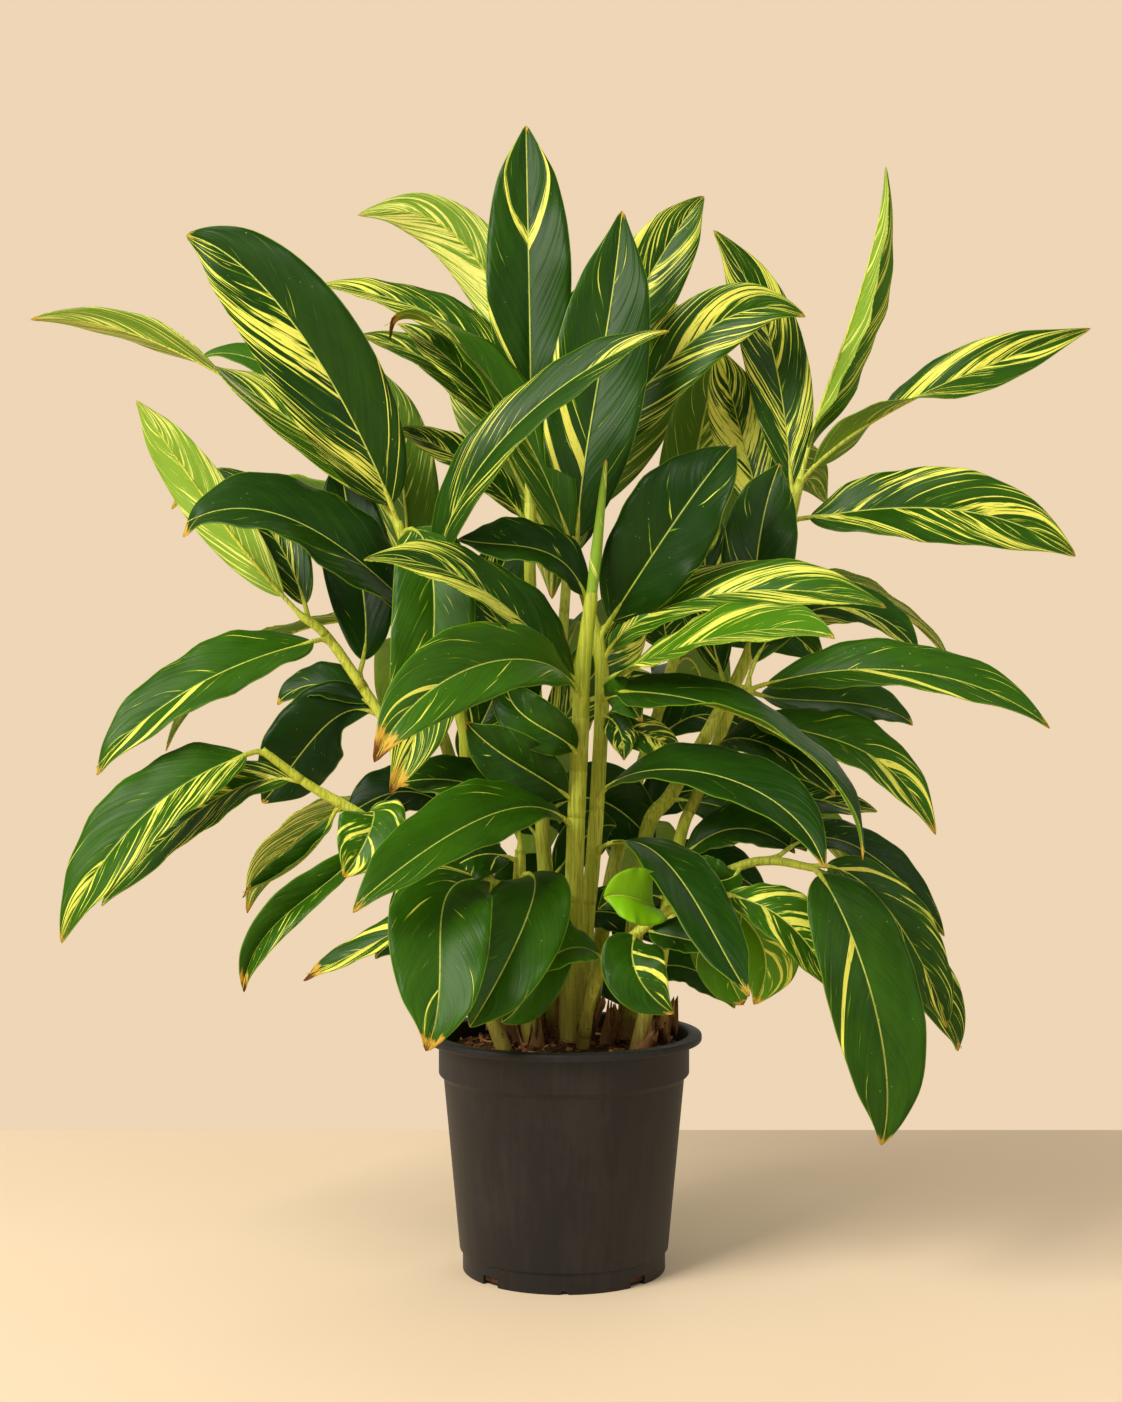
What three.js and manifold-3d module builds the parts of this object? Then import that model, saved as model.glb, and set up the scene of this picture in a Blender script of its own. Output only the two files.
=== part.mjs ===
// A potted variegated shell ginger: a plastic nursery pot, its soil, and the leafy canes that stand in it.
// Millimetres, +Z up. The pot stands on z = 0 with its axis on Z, and the front of the plant looks along -Y.

import * as THREE from "three";
import { mergeVertices } from "three/addons/utils/BufferGeometryUtils.js";
import Module from "manifold-3d";

const wasm = await Module();
wasm.setup();

// Driving dimensions.

const pot = {
  height: 235,
  wall: 2.4,
  floor: 3,
  base: { radius: 101, height: 19 },
  foot: { radius: 104, height: 21 },
  shoulder: { radius: 120, height: 190 },
  band: { radius: 125, bottom: 195, top: 227 },
  lip: { radius: 137.5, inner: 123.5, round: 2 },
  sides: 40,
};
const drain = { count: 4, turn: Math.PI / 4, width: 20, height: 9, reach: 12 };
const notch = { count: 4, radius: 4, reach: 8 };

const soil = { gap: 0.6, edgeHeight: 217, crown: 6, grain: 1.6, rings: 4, sectors: 24 };

const cane = { sides: 7, depthInSoil: 26, clearance: 0.35, stationLength: 84 };

const blade = {
  petiole: 0.1, // share of the midrib's length before the blade starts
  petioleHalf: 3.4,
  petioleThick: 4.6,
  ribThick: 3,
  ribThickAtTip: 1.5,
  edgeThick: 0.8,
  rise: 0.68, // powers of the outline, from the base and from the tip
  fall: 0.74,
  fold: 0.24, // radians that each half stands up from flat
  wave: 0.08, // depth of the margin's waves, as a share of the half width
  waves: 2.6,
  stationLength: 62,
  fewest: 4,
  most: 6,
  tipHalf: 0.5,
  startLength: 0.22, // share of the blade over which the petiole widens out of its round section
};

// Places on the plant are read on the upright plane through the pot's axis, across and up, as seen
// by an eye in front of it. Their third number moves them along the line of sight, away from the eye.

const eye = { distance: 2050, across: -3, height: 565 };

function place([across, up, depth]) {
  const reach = (eye.distance + depth) / eye.distance;
  return new THREE.Vector3(
    eye.across + (across - eye.across) * reach,
    depth,
    eye.height + (up - eye.height) * reach,
  );
}

// A leaf is [foot, a third along, two thirds along, tip, width, way its upper face looks at the foot,
// the same at the tip, fold]. The foot is given across and up, and lies on the cane's axis. The ways
// are letters: front, back, left, right, up, down.

const canes = {
  stem_front: {
    path: [[6, 222, 10], [9, 338, 5], [12, 443, 0], [16, 529, -5], [19, 600, -9], [30, 690, -13], [42, 806, -18]],
    radius: [13.5, 9.6, 9, 8.8, 8.2, 6.2, 1],
    leaves: [
      [[19, 432], [-42, 459, -60], [-121, 427, -140], [-212, 358, -210], 84, "fu", "fu"],
      [[17, 506], [-9, 531, -35], [-44, 554, -30], [-57, 594, -10], 52, "f", "f"],
      [[14, 462], [-23, 488, -25], [-62, 512, -40], [-98, 544, -45], 62, "f", "f"],
      [[19, 580], [-19, 621, -36], [-89, 681, -84], [-200, 708, -130], 82, "fu", "fu"],
      [[18, 560], [-24, 604, -80], [-109, 591, -176], [-190, 504, -230], 84, "uf", "f"],
    ],
  },
  stem_middle: {
    path: [[19, 222, 36], [23, 338, 32], [29, 407, 31], [34, 480, 31], [38, 590, 31], [28, 646, 33], [13, 696, 38]],
    radius: [8.6, 7.6, 7.6, 7.4, 7, 6.2, 4.6],
    leaves: [
      [[30, 414], [91, 414, -62], [141, 348, -156], [185, 272, -236], 62, "u", "uf"],
      [[34, 465], [90, 496, -60], [187, 478, -170], [261, 399, -260], 72, "fu", "fu"],
      [[36, 566], [50, 570, 0], [62, 566, -20], [78, 544, -30], 40, "f", "f"],
      [[38, 574], [111, 570, -90], [226, 526, -210], [302, 406, -280], 66, "f", "ru"],
      [[36, 551], [50, 544, 12], [58, 528, 4], [60, 506, 0], 30, "f", "f"],
      [[38, 584], [96, 611, -66], [180, 634, -160], [270, 630, -246], 84, "fu", "fu"],
      [[38, 596], [91, 654, 0], [200, 676, -45], [323, 660, -70], 80, "fu", "fu"],
      [[34, 626], [78, 695, 0], [126, 766, -24], [171, 823, -14], 104, "f", "fl"],
      [[13, 696], [-29, 811, 26], [-104, 921, 20], [-183, 938, 26], 84, "uf", "u"],
      [[13, 696], [21, 806, 42], [41, 926, 52], [58, 1056, 70], 102, "f", "f"],
      [[28, 646], [-4, 706, 8], [-54, 721, -6], [-106, 728, -12], 70, "fu", "fu"],
      [[36, 540], [62, 538, 14], [90, 528, 8], [120, 512, 4], 38, "f", "f"],
    ],
  },
  stem_left: {
    path: [[-39, 222, 20], [-84, 360, 14], [-124, 476, 8], [-179, 546, 2], [-234, 626, -6], [-261, 649, -10]],
    radius: [8, 6.6, 5.6, 5.2, 4.6, 3.8],
    leaves: [
      [[-179, 546], [-224, 551, 26], [-264, 511, 42], [-302, 463, 46], 88, "fu", "f"],
      [[-186, 556], [-219, 576, 40], [-254, 581, 60], [-288, 562, 70], 54, "fu", "fu"],
      [[-236, 628], [-299, 611, -50], [-384, 571, -80], [-472, 494, -96], 78, "fu", "fu"],
      [[-261, 649], [-324, 721, 0], [-379, 796, 8], [-427, 865, 10], 56, "b", "b"],
      [[-255, 645], [-279, 711, 36], [-329, 771, 60], [-394, 758, 72], 62, "f", "fu"],
      [[-209, 586], [-199, 656, 50], [-212, 736, 80], [-224, 811, 90], 76, "f", "f"],
    ],
  },
  stem_left_low: {
    path: [[-62, 222, -30], [-104, 330, -34], [-150, 406, -42], [-199, 448, -50], [-255, 481, -58], [-302, 516, -66]],
    radius: [8, 6.4, 5.4, 5, 4.4, 3.6],
    leaves: [
      [[-197, 448], [-190, 452, -66], [-197, 428, -88], [-221, 388, -92], 66, "uf", "f"],
      [[-224, 465], [-250, 420, -36], [-282, 392, -40], [-324, 373, -46], 34, "fu", "fu", 1],
      [[-190, 442], [-234, 386, -66], [-289, 341, -84], [-322, 272, -92], 48, "fu", "f"],
      [[-255, 481], [-319, 481, -56], [-389, 436, -50], [-464, 361, -44], 66, "fu", "fu"],
      [[-302, 516], [-364, 491, -96], [-439, 431, -118], [-504, 323, -124], 84, "fu", "fu"],
    ],
  },
  stem_tall_back: {
    path: [[-9, 222, 72], [-22, 450, 80], [-33, 666, 86], [-34, 746, 88], [-33, 826, 92]],
    radius: [9, 7.4, 6.4, 6, 4.6],
    leaves: [
      [[-33, 826], [-34, 926, 96], [-36, 1036, 104], [-38, 1141, 112], 92, "f", "f"],
      [[-33, 818], [-52, 936, 132], [-109, 1031, 146], [-206, 1050, 140], 68, "bu", "b"],
      [[-34, 796], [-69, 856, 66], [-114, 906, 58], [-166, 944, 66], 54, "fu", "fu"],
      [[-33, 812], [-74, 911, 112], [-154, 961, 122], [-244, 983, 124], 58, "fu", "fu"],
      [[-34, 780], [-74, 852, 92], [-139, 907, 98], [-211, 931, 102], 46, "fu", "fu"],
      [[-34, 736], [-69, 781, 76], [-119, 816, 70], [-172, 838, 70], 50, "fu", "fu"],
      [[-34, 770], [-16, 836, 98], [4, 916, 104], [21, 986, 112], 62, "f", "f"],
      [[-33, 800], [26, 886, 134], [86, 991, 144], [140, 1070, 138], 84, "f", "f"],
      [[-34, 786], [46, 841, 114], [136, 931, 92], [241, 950, 60], 84, "fu", "f"],
      [[-26, 540], [-46, 600, 70], [-66, 656, 62], [-92, 700, 60], 66, "f", "f"],
      [[-24, 500], [8, 560, 108], [46, 612, 116], [86, 650, 118], 66, "f", "f"],
      [[-16, 380], [8, 414, 68], [30, 436, 66], [52, 440, 64], 50, "f", "f"],
      [[-14, 330], [20, 352, 82], [60, 350, 86], [104, 318, 88], 60, "fu", "fu"],
      [[-18, 420], [-50, 452, 96], [-86, 462, 104], [-128, 450, 108], 64, "fu", "fu"],
      [[-22, 450], [16, 468, 92], [52, 458, 94], [92, 420, 98], 84, "f", "f"],
    ],
  },
  stem_right_tall: {
    path: [[61, 222, 40], [80, 422, 60], [108, 473, 72], [151, 546, 86], [186, 616, 98], [221, 726, 110], [236, 786, 114]],
    radius: [10.5, 8, 7.2, 6.8, 6.4, 5.8, 4.6],
    leaves: [
      [[230, 760], [221, 846, 130], [201, 941, 126], [150, 1036, 104], 70, "f", "f"],
      [[216, 710], [188, 791, 154], [171, 856, 160], [152, 921, 156], 66, "f", "f"],
      [[221, 726], [216, 776, 146], [204, 821, 170], [191, 866, 186], 48, "f", "f"],
      [[236, 786], [266, 881, 114], [298, 976, 112], [324, 1099, 104], 62, "rrf", "rrf", 0.9],
      [[236, 780], [301, 841, 96], [401, 891, 82], [527, 938, 80], 66, "ub", "f"],
      [[228, 745], [303, 756, 82], [406, 754, 62], [512, 710, 52], 88, "fu", "f"],
      [[186, 616], [190, 676, 44], [198, 741, 50], [216, 803, 66], 78, "f", "f"],
      [[165, 570], [146, 640, 118], [141, 706, 128], [148, 766, 132], 62, "f", "f"],
      [[104, 466], [146, 462, 40], [194, 446, 24], [244, 416, 16], 66, "fu", "fu"],
      [[118, 486], [172, 472, 60], [226, 444, 58], [292, 424, 52], 58, "fu", "fu"],
      [[76, 380], [116, 400, 84], [160, 396, 92], [206, 366, 96], 66, "fu", "fu"],
      [[70, 330], [108, 352, 72], [152, 344, 80], [196, 308, 82], 64, "fu", "fu"],
      [[66, 280], [100, 300, 60], [138, 292, 64], [172, 258, 64], 54, "fu", "fu"],
    ],
  },
  shoot_right_low: {
    path: [[19, 222, -28], [26, 266, -36], [41, 303, -46], [73, 333, -60], [98, 352, -70], [126, 364, -78], [156, 373, -84]],
    radius: [6.6, 5.6, 5.2, 4.8, 4.4, 4, 3.4],
    leaves: [
      [[41, 303], [21, 318, -66], [-4, 314, -88], [-28, 292, -100], 52, "fu", "fu"],
      [[73, 333], [68, 316, -86], [76, 286, -104], [110, 252, -110], 64, "f", "f"],
      [[80, 338], [101, 331, -70], [125, 326, -80], [149, 316, -86], 44, "uf", "uf"],
      [[98, 352], [84, 362, -106], [62, 370, -126], [40, 368, -132], 60, "fu", "f", 0.4],
      [[156, 373], [196, 361, -108], [236, 331, -120], [273, 270, -126], 62, "fu", "fu"],
      [[150, 371], [176, 352, -84], [200, 316, -84], [190, 261, -80], 78, "f", "f"],
      [[128, 365], [146, 336, -66], [162, 296, -62], [181, 259, -58], 56, "f", "f"],
    ],
  },
  stem_left_tall: {
    path: [[-34, 222, 50], [-84, 416, 48], [-97, 506, 46], [-101, 542, 46], [-124, 626, 44], [-139, 666, 44], [-167, 744, 42]],
    radius: [10, 7.6, 7, 6.8, 6.4, 6, 4.6],
    leaves: [
      [[-167, 744], [-204, 831, 12], [-281, 956, -10], [-380, 1032, 0], 108, "f", "f"],
      [[-166, 740], [-254, 831, 62], [-389, 916, 74], [-533, 948, 80], 62, "f", "bu"],
      [[-160, 726], [-214, 824, 122], [-289, 896, 142], [-366, 908, 142], 50, "fu", "fu"],
      [[-130, 640], [-99, 776, -44], [-4, 878, -68], [104, 937, -90], 64, "fu", "uf"],
      [[-128, 634], [-194, 696, -20], [-284, 751, -62], [-387, 739, -84], 104, "fu", "fu"],
      [[-163, 732], [-134, 706, -34], [-134, 596, -54], [-174, 473, -62], 84, "uf", "f"],
      [[-98, 510], [-76, 556, 48], [-60, 596, 50], [-52, 640, 52], 56, "f", "f"],
      [[-66, 340], [-96, 372, 30], [-136, 380, 22], [-176, 350, 18], 56, "fu", "fu"],
    ],
  },
  stem_right: {
    path: [[81, 222, 0], [104, 360, -6], [118, 435, -10], [134, 473, -12], [171, 566, -16], [184, 576, -18]],
    radius: [10.5, 7, 6, 5.6, 5, 4.4],
    leaves: [
      [[182, 575], [226, 646, 0], [296, 656, 0], [355, 613, -10], 62, "fu", "fu"],
      [[184, 576], [261, 594, -64], [371, 591, -94], [487, 539, -112], 68, "fu", "fu"],
      [[183, 575], [236, 566, 12], [296, 562, 26], [350, 542, 32], 66, "fu", "fu"],
      [[171, 566], [236, 536, -70], [306, 511, -90], [373, 432, -98], 68, "fu", "fu"],
      [[150, 515], [176, 528, -50], [222, 512, -72], [272, 471, -84], 58, "fu", "fu"],
      [[150, 515], [206, 480, 4], [256, 466, 14], [314, 456, 20], 54, "fu", "fu"],
      [[112, 400], [150, 432, -22], [190, 436, -28], [232, 414, -34], 54, "fu", "fu"],
      [[106, 366], [84, 372, -20], [60, 372, -26], [34, 356, -28], 40, "f", "f"],
    ],
  },
  stem_right_low: {
    path: [[75, 222, -34], [98, 320, -36], [126, 372, -36], [176, 400, -50], [211, 405, -74], [248, 398, -104]],
    radius: [8.4, 6, 4.8, 4.2, 3.8, 3.2],
    leaves: [
      [[248, 398], [281, 346, -140], [316, 236, -152], [318, 119, -150], 90, "fu", "f"],
      [[246, 399], [301, 381, -106], [351, 316, -98], [384, 238, -88], 64, "fu", "fu"],
      [[240, 400], [306, 361, -66], [361, 291, -46], [399, 214, -34], 62, "fu", "fu"],
      [[211, 405], [266, 428, -44], [326, 396, -30], [382, 330, -20], 50, "fu", "fu"],
      [[176, 400], [161, 386, -58], [132, 390, -56], [106, 418, -48], 46, "uf", "fr", 0.5],
    ],
  },
  stem_front_short: {
    path: [[-32, 222, -10], [-38, 310, -12], [-44, 376, -12], [-44, 416, -12]],
    radius: [11, 8.6, 6.8, 5],
    leaves: [
      [[-44, 376], [-114, 376, -112], [-124, 306, -174], [-138, 215, -204], 98, "uf", "f"],
      [[-44, 390], [-30, 372, -76], [-56, 306, -130], [-94, 239, -160], 84, "uf", "f"],
      [[-42, 360], [-16, 336, -38], [-32, 281, -58], [-62, 244, -72], 60, "uf", "f"],
      [[-42, 350], [-124, 351, -74], [-194, 321, -84], [-261, 291, -90], 42, "u", "uf"],
      [[-44, 416], [-64, 466, -24], [-114, 486, -30], [-172, 481, -36], 60, "fu", "fu"],
      [[-44, 404], [-78, 412, -44], [-108, 400, -60], [-138, 372, -70], 58, "uf", "f"],
    ],
  },
  stem_back_right: {
    path: [[22, 222, 70], [50, 400, 120], [96, 560, 168], [132, 680, 204]],
    radius: [9, 7.4, 6, 4.6],
    leaves: [
      [[132, 680], [180, 764, 262], [224, 794, 326], [262, 764, 392], 88, "ub", "ub"],
      [[128, 668], [214, 690, 226], [306, 672, 250], [392, 596, 268], 80, "u", "ur"],
      [[120, 640], [124, 744, 190], [138, 840, 206], [158, 916, 232], 80, "b", "b"],
      [[96, 560], [114, 606, 250], [134, 596, 330], [146, 524, 386], 90, "ub", "b"],
      [[76, 496], [146, 500, 196], [228, 464, 250], [296, 384, 286], 80, "ur", "br"],
      [[50, 400], [72, 424, 186], [92, 386, 256], [102, 304, 304], 84, "ub", "b"],
      [[36, 320], [80, 344, 126], [124, 344, 134], [170, 316, 138], 70, "fu", "fu"],
      [[60, 440], [104, 470, 148], [150, 474, 156], [200, 448, 160], 76, "fu", "fu"],
      [[56, 420], [24, 450, 112], [-4, 462, 116], [-40, 452, 118], 64, "f", "f"],
      [[84, 520], [124, 548, 178], [160, 548, 186], [206, 520, 190], 70, "fu", "fu"],
      [[108, 604], [100, 646, 176], [104, 690, 166], [120, 748, 156], 84, "f", "f"],
      [[112, 616], [160, 644, 190], [210, 642, 196], [262, 600, 198], 70, "f", "f"],
    ],
  },
  stem_back_left: {
    path: [[-58, 222, 70], [-84, 400, 114], [-124, 540, 156], [-160, 650, 186]],
    radius: [9, 7.4, 6, 4.6],
    leaves: [
      [[-160, 650], [-214, 736, 234], [-262, 762, 300], [-300, 730, 366], 86, "ub", "ub"],
      [[-156, 636], [-240, 644, 212], [-328, 602, 232], [-400, 516, 250], 80, "u", "ul"],
      [[-150, 620], [-156, 724, 176], [-166, 820, 192], [-186, 896, 222], 78, "b", "b"],
      [[-124, 540], [-144, 596, 230], [-158, 588, 310], [-164, 516, 372], 90, "ub", "b"],
      [[-104, 470], [-176, 474, 180], [-258, 436, 234], [-318, 354, 272], 80, "ul", "bl"],
      [[-84, 400], [-96, 424, 178], [-108, 382, 250], [-116, 298, 300], 84, "ub", "b"],
      [[-70, 310], [-108, 336, 104], [-148, 336, 110], [-190, 308, 112], 70, "fu", "fu"],
      [[-76, 350], [-52, 380, 104], [-20, 386, 106], [16, 366, 106], 58, "f", "f"],
      [[-96, 440], [-136, 470, 132], [-176, 472, 138], [-222, 446, 140], 74, "fu", "fu"],
      [[-110, 490], [-84, 528, 128], [-52, 540, 124], [-14, 530, 122], 66, "f", "f"],
      [[-124, 540], [-104, 604, 148], [-76, 668, 138], [-44, 742, 130], 80, "f", "f"],
    ],
  },
  stem_back: {
    path: [[-30, 222, 92], [-22, 420, 140], [-4, 600, 186], [6, 740, 216]],
    radius: [9, 7.4, 6, 4.6],
    leaves: [
      [[6, 740], [18, 850, 256], [26, 926, 316], [28, 936, 390], 90, "b", "ub"],
      [[4, 726], [62, 820, 236], [98, 900, 268], [112, 960, 316], 74, "b", "b"],
      [[2, 700], [-52, 800, 222], [-86, 880, 248], [-104, 930, 300], 76, "b", "b"],
      [[0, 660], [-4, 740, 286], [-8, 740, 370], [-12, 668, 440], 92, "ub", "b"],
      [[-4, 590], [12, 646, 270], [20, 620, 356], [24, 534, 416], 84, "ub", "b"],
      [[-14, 500], [-18, 520, 230], [-26, 474, 316], [-28, 388, 372], 88, "ub", "b"],
      [[-28, 290], [4, 300, 118], [36, 290, 124], [64, 256, 124], 54, "fu", "fu"],
      [[-10, 540], [26, 572, 150], [62, 580, 146], [104, 566, 142], 66, "fu", "fu"],
    ],
  },
};

// A dried husk, the stump of an old cane, between the others.

const husk = { at: [42, 4], radius: 7, foot: 200, shoulder: 244, top: 262, lean: [6, -3] };

const colours = {
  pot: { color: 0x3b3937, roughness: 0.5 },
  soil: { color: 0x3a2618, roughness: 0.95 },
  leaf: { color: 0x35661f, roughness: 0.45 },
  husk: { color: 0x8a6a45, roughness: 0.9 },
};

// Meshes from rings of points.

function closedGeometry(points, triangles) {
  const geometry = new THREE.BufferGeometry();
  geometry.setAttribute("position", new THREE.Float32BufferAttribute(points.flatMap((p) => p.toArray()), 3));
  geometry.setIndex(triangles.flat());
  return geometry;
}

// Joins rings of equal count, one after another, and closes both ends. Where turned(side) says so, a
// side's quads are cut along their other diagonal.
function skin(rings, turned = () => false) {
  const count = rings[0].length;
  const points = rings.flat();
  const triangles = [];
  for (let ring = 0; ring + 1 < rings.length; ring++) {
    for (let side = 0; side < count; side++) {
      const next = (side + 1) % count;
      const [a, b] = [ring * count + side, ring * count + next];
      const [d, c] = [a + count, b + count];
      triangles.push(...(turned(side) ? [[a, b, d], [b, c, d]] : [[a, b, c], [a, c, d]]));
    }
  }
  const last = (rings.length - 1) * count;
  for (let side = 1; side + 1 < count; side++) {
    triangles.push([0, side + 1, side], [last, last + side, last + side + 1]);
  }
  return closedGeometry(points, triangles);
}

function solidOf(geometry) {
  const bare = geometry.clone();
  bare.deleteAttribute("normal");
  bare.deleteAttribute("uv");
  const merged = mergeVertices(bare);
  const mesh = new wasm.Mesh({
    numProp: 3,
    vertProperties: Float32Array.from(merged.attributes.position.array),
    triVerts: Uint32Array.from(merged.index.array),
  });
  return new wasm.Manifold(mesh);
}

function geometryOf(solid) {
  const { vertProperties, triVerts } = solid.getMesh();
  const geometry = new THREE.BufferGeometry();
  geometry.setAttribute("position", new THREE.BufferAttribute(vertProperties, 3));
  geometry.setIndex(new THREE.BufferAttribute(triVerts, 1));
  return geometry;
}

// The rings of a round tube along points, with a radius at each.
function tubeRings(points, radii, sides) {
  return points.map((point, i) => {
    const before = points[Math.max(i - 1, 0)];
    const after = points[Math.min(i + 1, points.length - 1)];
    const along = after.clone().sub(before).normalize();
    const across = new THREE.Vector3(0, 1, 0).cross(along).normalize();
    const out = along.clone().cross(across);
    return Array.from({ length: sides }, (_, side) => {
      const turn = (2 * Math.PI * side) / sides;
      return point
        .clone()
        .addScaledVector(across, radii[i] * Math.cos(turn))
        .addScaledVector(out, radii[i] * Math.sin(turn));
    });
  });
}

// Canes.

function axisOf({ path }) {
  return new THREE.CatmullRomCurve3(path.map((p) => new THREE.Vector3(...p)), false, "catmullrom", 0.5);
}

function radiusAt({ radius }, t) {
  const step = t * (radius.length - 1);
  const from = Math.min(Math.floor(step), radius.length - 2);
  return THREE.MathUtils.lerp(radius[from], radius[from + 1], step - from);
}

// Rings of a cane, from below the soil to its top. A wider cane is the shape of the hole it stands in.
function caneRings(row, wider = 0) {
  const axis = axisOf(row);
  const stations = Math.max(5, Math.round(axis.getLength() / cane.stationLength));
  const points = [];
  const radii = [];
  for (let i = 0; i <= stations; i++) {
    points.push(place(axis.getPoint(i / stations).toArray()));
    radii.push(radiusAt(row, i / stations) + wider);
  }
  const down = points[0].clone().sub(points[1]).normalize();
  points.unshift(points[0].clone().addScaledVector(down, cane.depthInSoil + wider));
  radii.unshift(radii[0]);
  return tubeRings(points, radii, cane.sides);
}

// Leaves.

const ways = { f: [0, -1, 0], b: [0, 1, 0], l: [-1, 0, 0], r: [1, 0, 0], u: [0, 0, 1], d: [0, 0, -1] };

function wayOf(letters) {
  const sum = new THREE.Vector3();
  for (const letter of letters) sum.add(new THREE.Vector3(...ways[letter]));
  return sum.normalize();
}

function midribOf(row, foot, ...rest) {
  const axis = axisOf(row);
  const samples = 240;
  let best = { distance: Infinity };
  for (let i = 0; i <= samples; i++) {
    const point = axis.getPoint(i / samples);
    const distance = Math.hypot(point.x - foot[0], point.y - foot[1]);
    if (distance < best.distance) best = { distance, point };
  }
  const [a, b, c, d] = [best.point.toArray(), ...rest].map(place);
  const handle = (...weights) =>
    [a, b, c, d].reduce((sum, p, i) => sum.addScaledVector(p, weights[i] / 6), new THREE.Vector3());
  return new THREE.CubicBezierCurve3(a, handle(-5, 18, -9, 2), handle(2, -9, 18, -5), d);
}

const outlinePeak = blade.rise / (blade.rise + blade.fall);
const outlineTop = outlinePeak ** blade.rise * (1 - outlinePeak) ** blade.fall;

function outline(along) {
  return (along ** blade.rise * (1 - along) ** blade.fall) / outlineTop;
}

// Stations along a midrib: its foot, the end of its petiole, then more closely near both ends of the blade.
function stationsOf(length) {
  const count = THREE.MathUtils.clamp(Math.round(length / blade.stationLength), blade.fewest, blade.most);
  const stations = [0];
  for (let i = 0; i <= count; i++) {
    const even = i / count;
    const eased = even - 0.05 * Math.sin(2 * Math.PI * even);
    stations.push(blade.petiole + (1 - blade.petiole) * eased);
  }
  return stations;
}

function leafSolid(row, [foot, third, twoThirds, tip, width, wayAtFoot, wayAtTip, fold = blade.fold], number) {
  const midrib = midribOf(row, foot, third, twoThirds, tip);
  const from = wayOf(wayAtFoot);
  const to = wayOf(wayAtTip);
  const rings = [];
  for (const t of stationsOf(midrib.getLength())) {
    const along = midrib.getTangent(t);
    const way = from.clone().lerp(to, t);
    const up = way.addScaledVector(along, -way.dot(along)).normalize();
    const side = along.clone().cross(up);
    const bladeT = Math.max(0, (t - blade.petiole) / (1 - blade.petiole));
    const open = THREE.MathUtils.smoothstep(bladeT, 0, blade.startLength);
    const half = Math.max(blade.petioleHalf * (1 - bladeT), (width / 2) * outline(bladeT), blade.tipHalf);
    const mix = (petiole, leaf) => THREE.MathUtils.lerp(petiole, leaf, open);
    const rib = mix(blade.petioleThick, THREE.MathUtils.lerp(blade.ribThick, blade.ribThickAtTip, t));
    const edge = mix(blade.petioleThick * 0.5, blade.edgeThick);
    const at = (s, thick) => {
      const ripple = blade.wave * Math.sin(2 * Math.PI * blade.waves * t + number * 2.4 + (s < 0 ? 1.9 : 0));
      const lift = Math.abs(s) * half * open * (Math.sin(fold) + ripple);
      const lean = THREE.MathUtils.lerp(1, Math.cos(fold), open);
      return midrib.getPoint(t).addScaledVector(side, half * s * lean).addScaledVector(up, lift + thick);
    };
    const section = [[-1, edge], [0, rib], [1, edge]];
    const top = section.map(([s, thick]) => at(s, thick / 2));
    const bottom = section.map(([s, thick]) => at(s, -thick / 2)).reverse();
    rings.push([...top, ...bottom]);
  }
  const half = rings[0].length / 2;
  return solidOf(skin(rings, (side) => side >= half));
}

function leafyCane(row, index) {
  const leaves = row.leaves.map((leaf, i) => leafSolid(row, leaf, index * 7 + i));
  return geometryOf(leaves.reduce((sum, leaf) => sum.add(leaf), solidOf(skin(caneRings(row)))));
}

// Pot.

function potGeometry() {
  const { wall, lip, band, base, foot, shoulder } = pot;
  const profile = [
    [0, 0],
    [base.radius, 0],
    [base.radius, base.height],
    [foot.radius, foot.height],
    [shoulder.radius, shoulder.height],
    [band.radius, band.bottom],
    [band.radius, band.top],
    [lip.radius, band.top],
    [lip.radius, pot.height - lip.round],
    [lip.radius - lip.round, pot.height],
    [lip.inner, pot.height],
    [band.radius - wall, band.bottom + wall],
    [shoulder.radius - wall, shoulder.height],
    [base.radius - wall, base.height],
    [base.radius - wall, pot.floor],
    [0, pot.floor],
  ].map(([radius, height]) => new THREE.Vector2(radius, height));
  const shell = new THREE.LatheGeometry(profile, pot.sides).rotateX(Math.PI / 2);
  let solid = solidOf(shell);
  for (let i = 0; i < drain.count; i++) {
    const block = new THREE.BoxGeometry(drain.reach, drain.width, drain.height * 2);
    block.translate(base.radius, 0, 0).rotateZ(drain.turn + (i * 2 * Math.PI) / drain.count);
    solid = solid.subtract(solidOf(block));
  }
  for (let i = 0; i < notch.count; i++) {
    const hole = new THREE.CylinderGeometry(notch.radius, notch.radius, notch.reach, 12).rotateZ(Math.PI / 2);
    hole.translate(base.radius, 0, 0).rotateZ((i * 2 * Math.PI) / notch.count);
    solid = solid.subtract(solidOf(hole));
  }
  return geometryOf(solid);
}

// Soil: fills the pot up to a low crown with a grainy surface.

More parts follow.
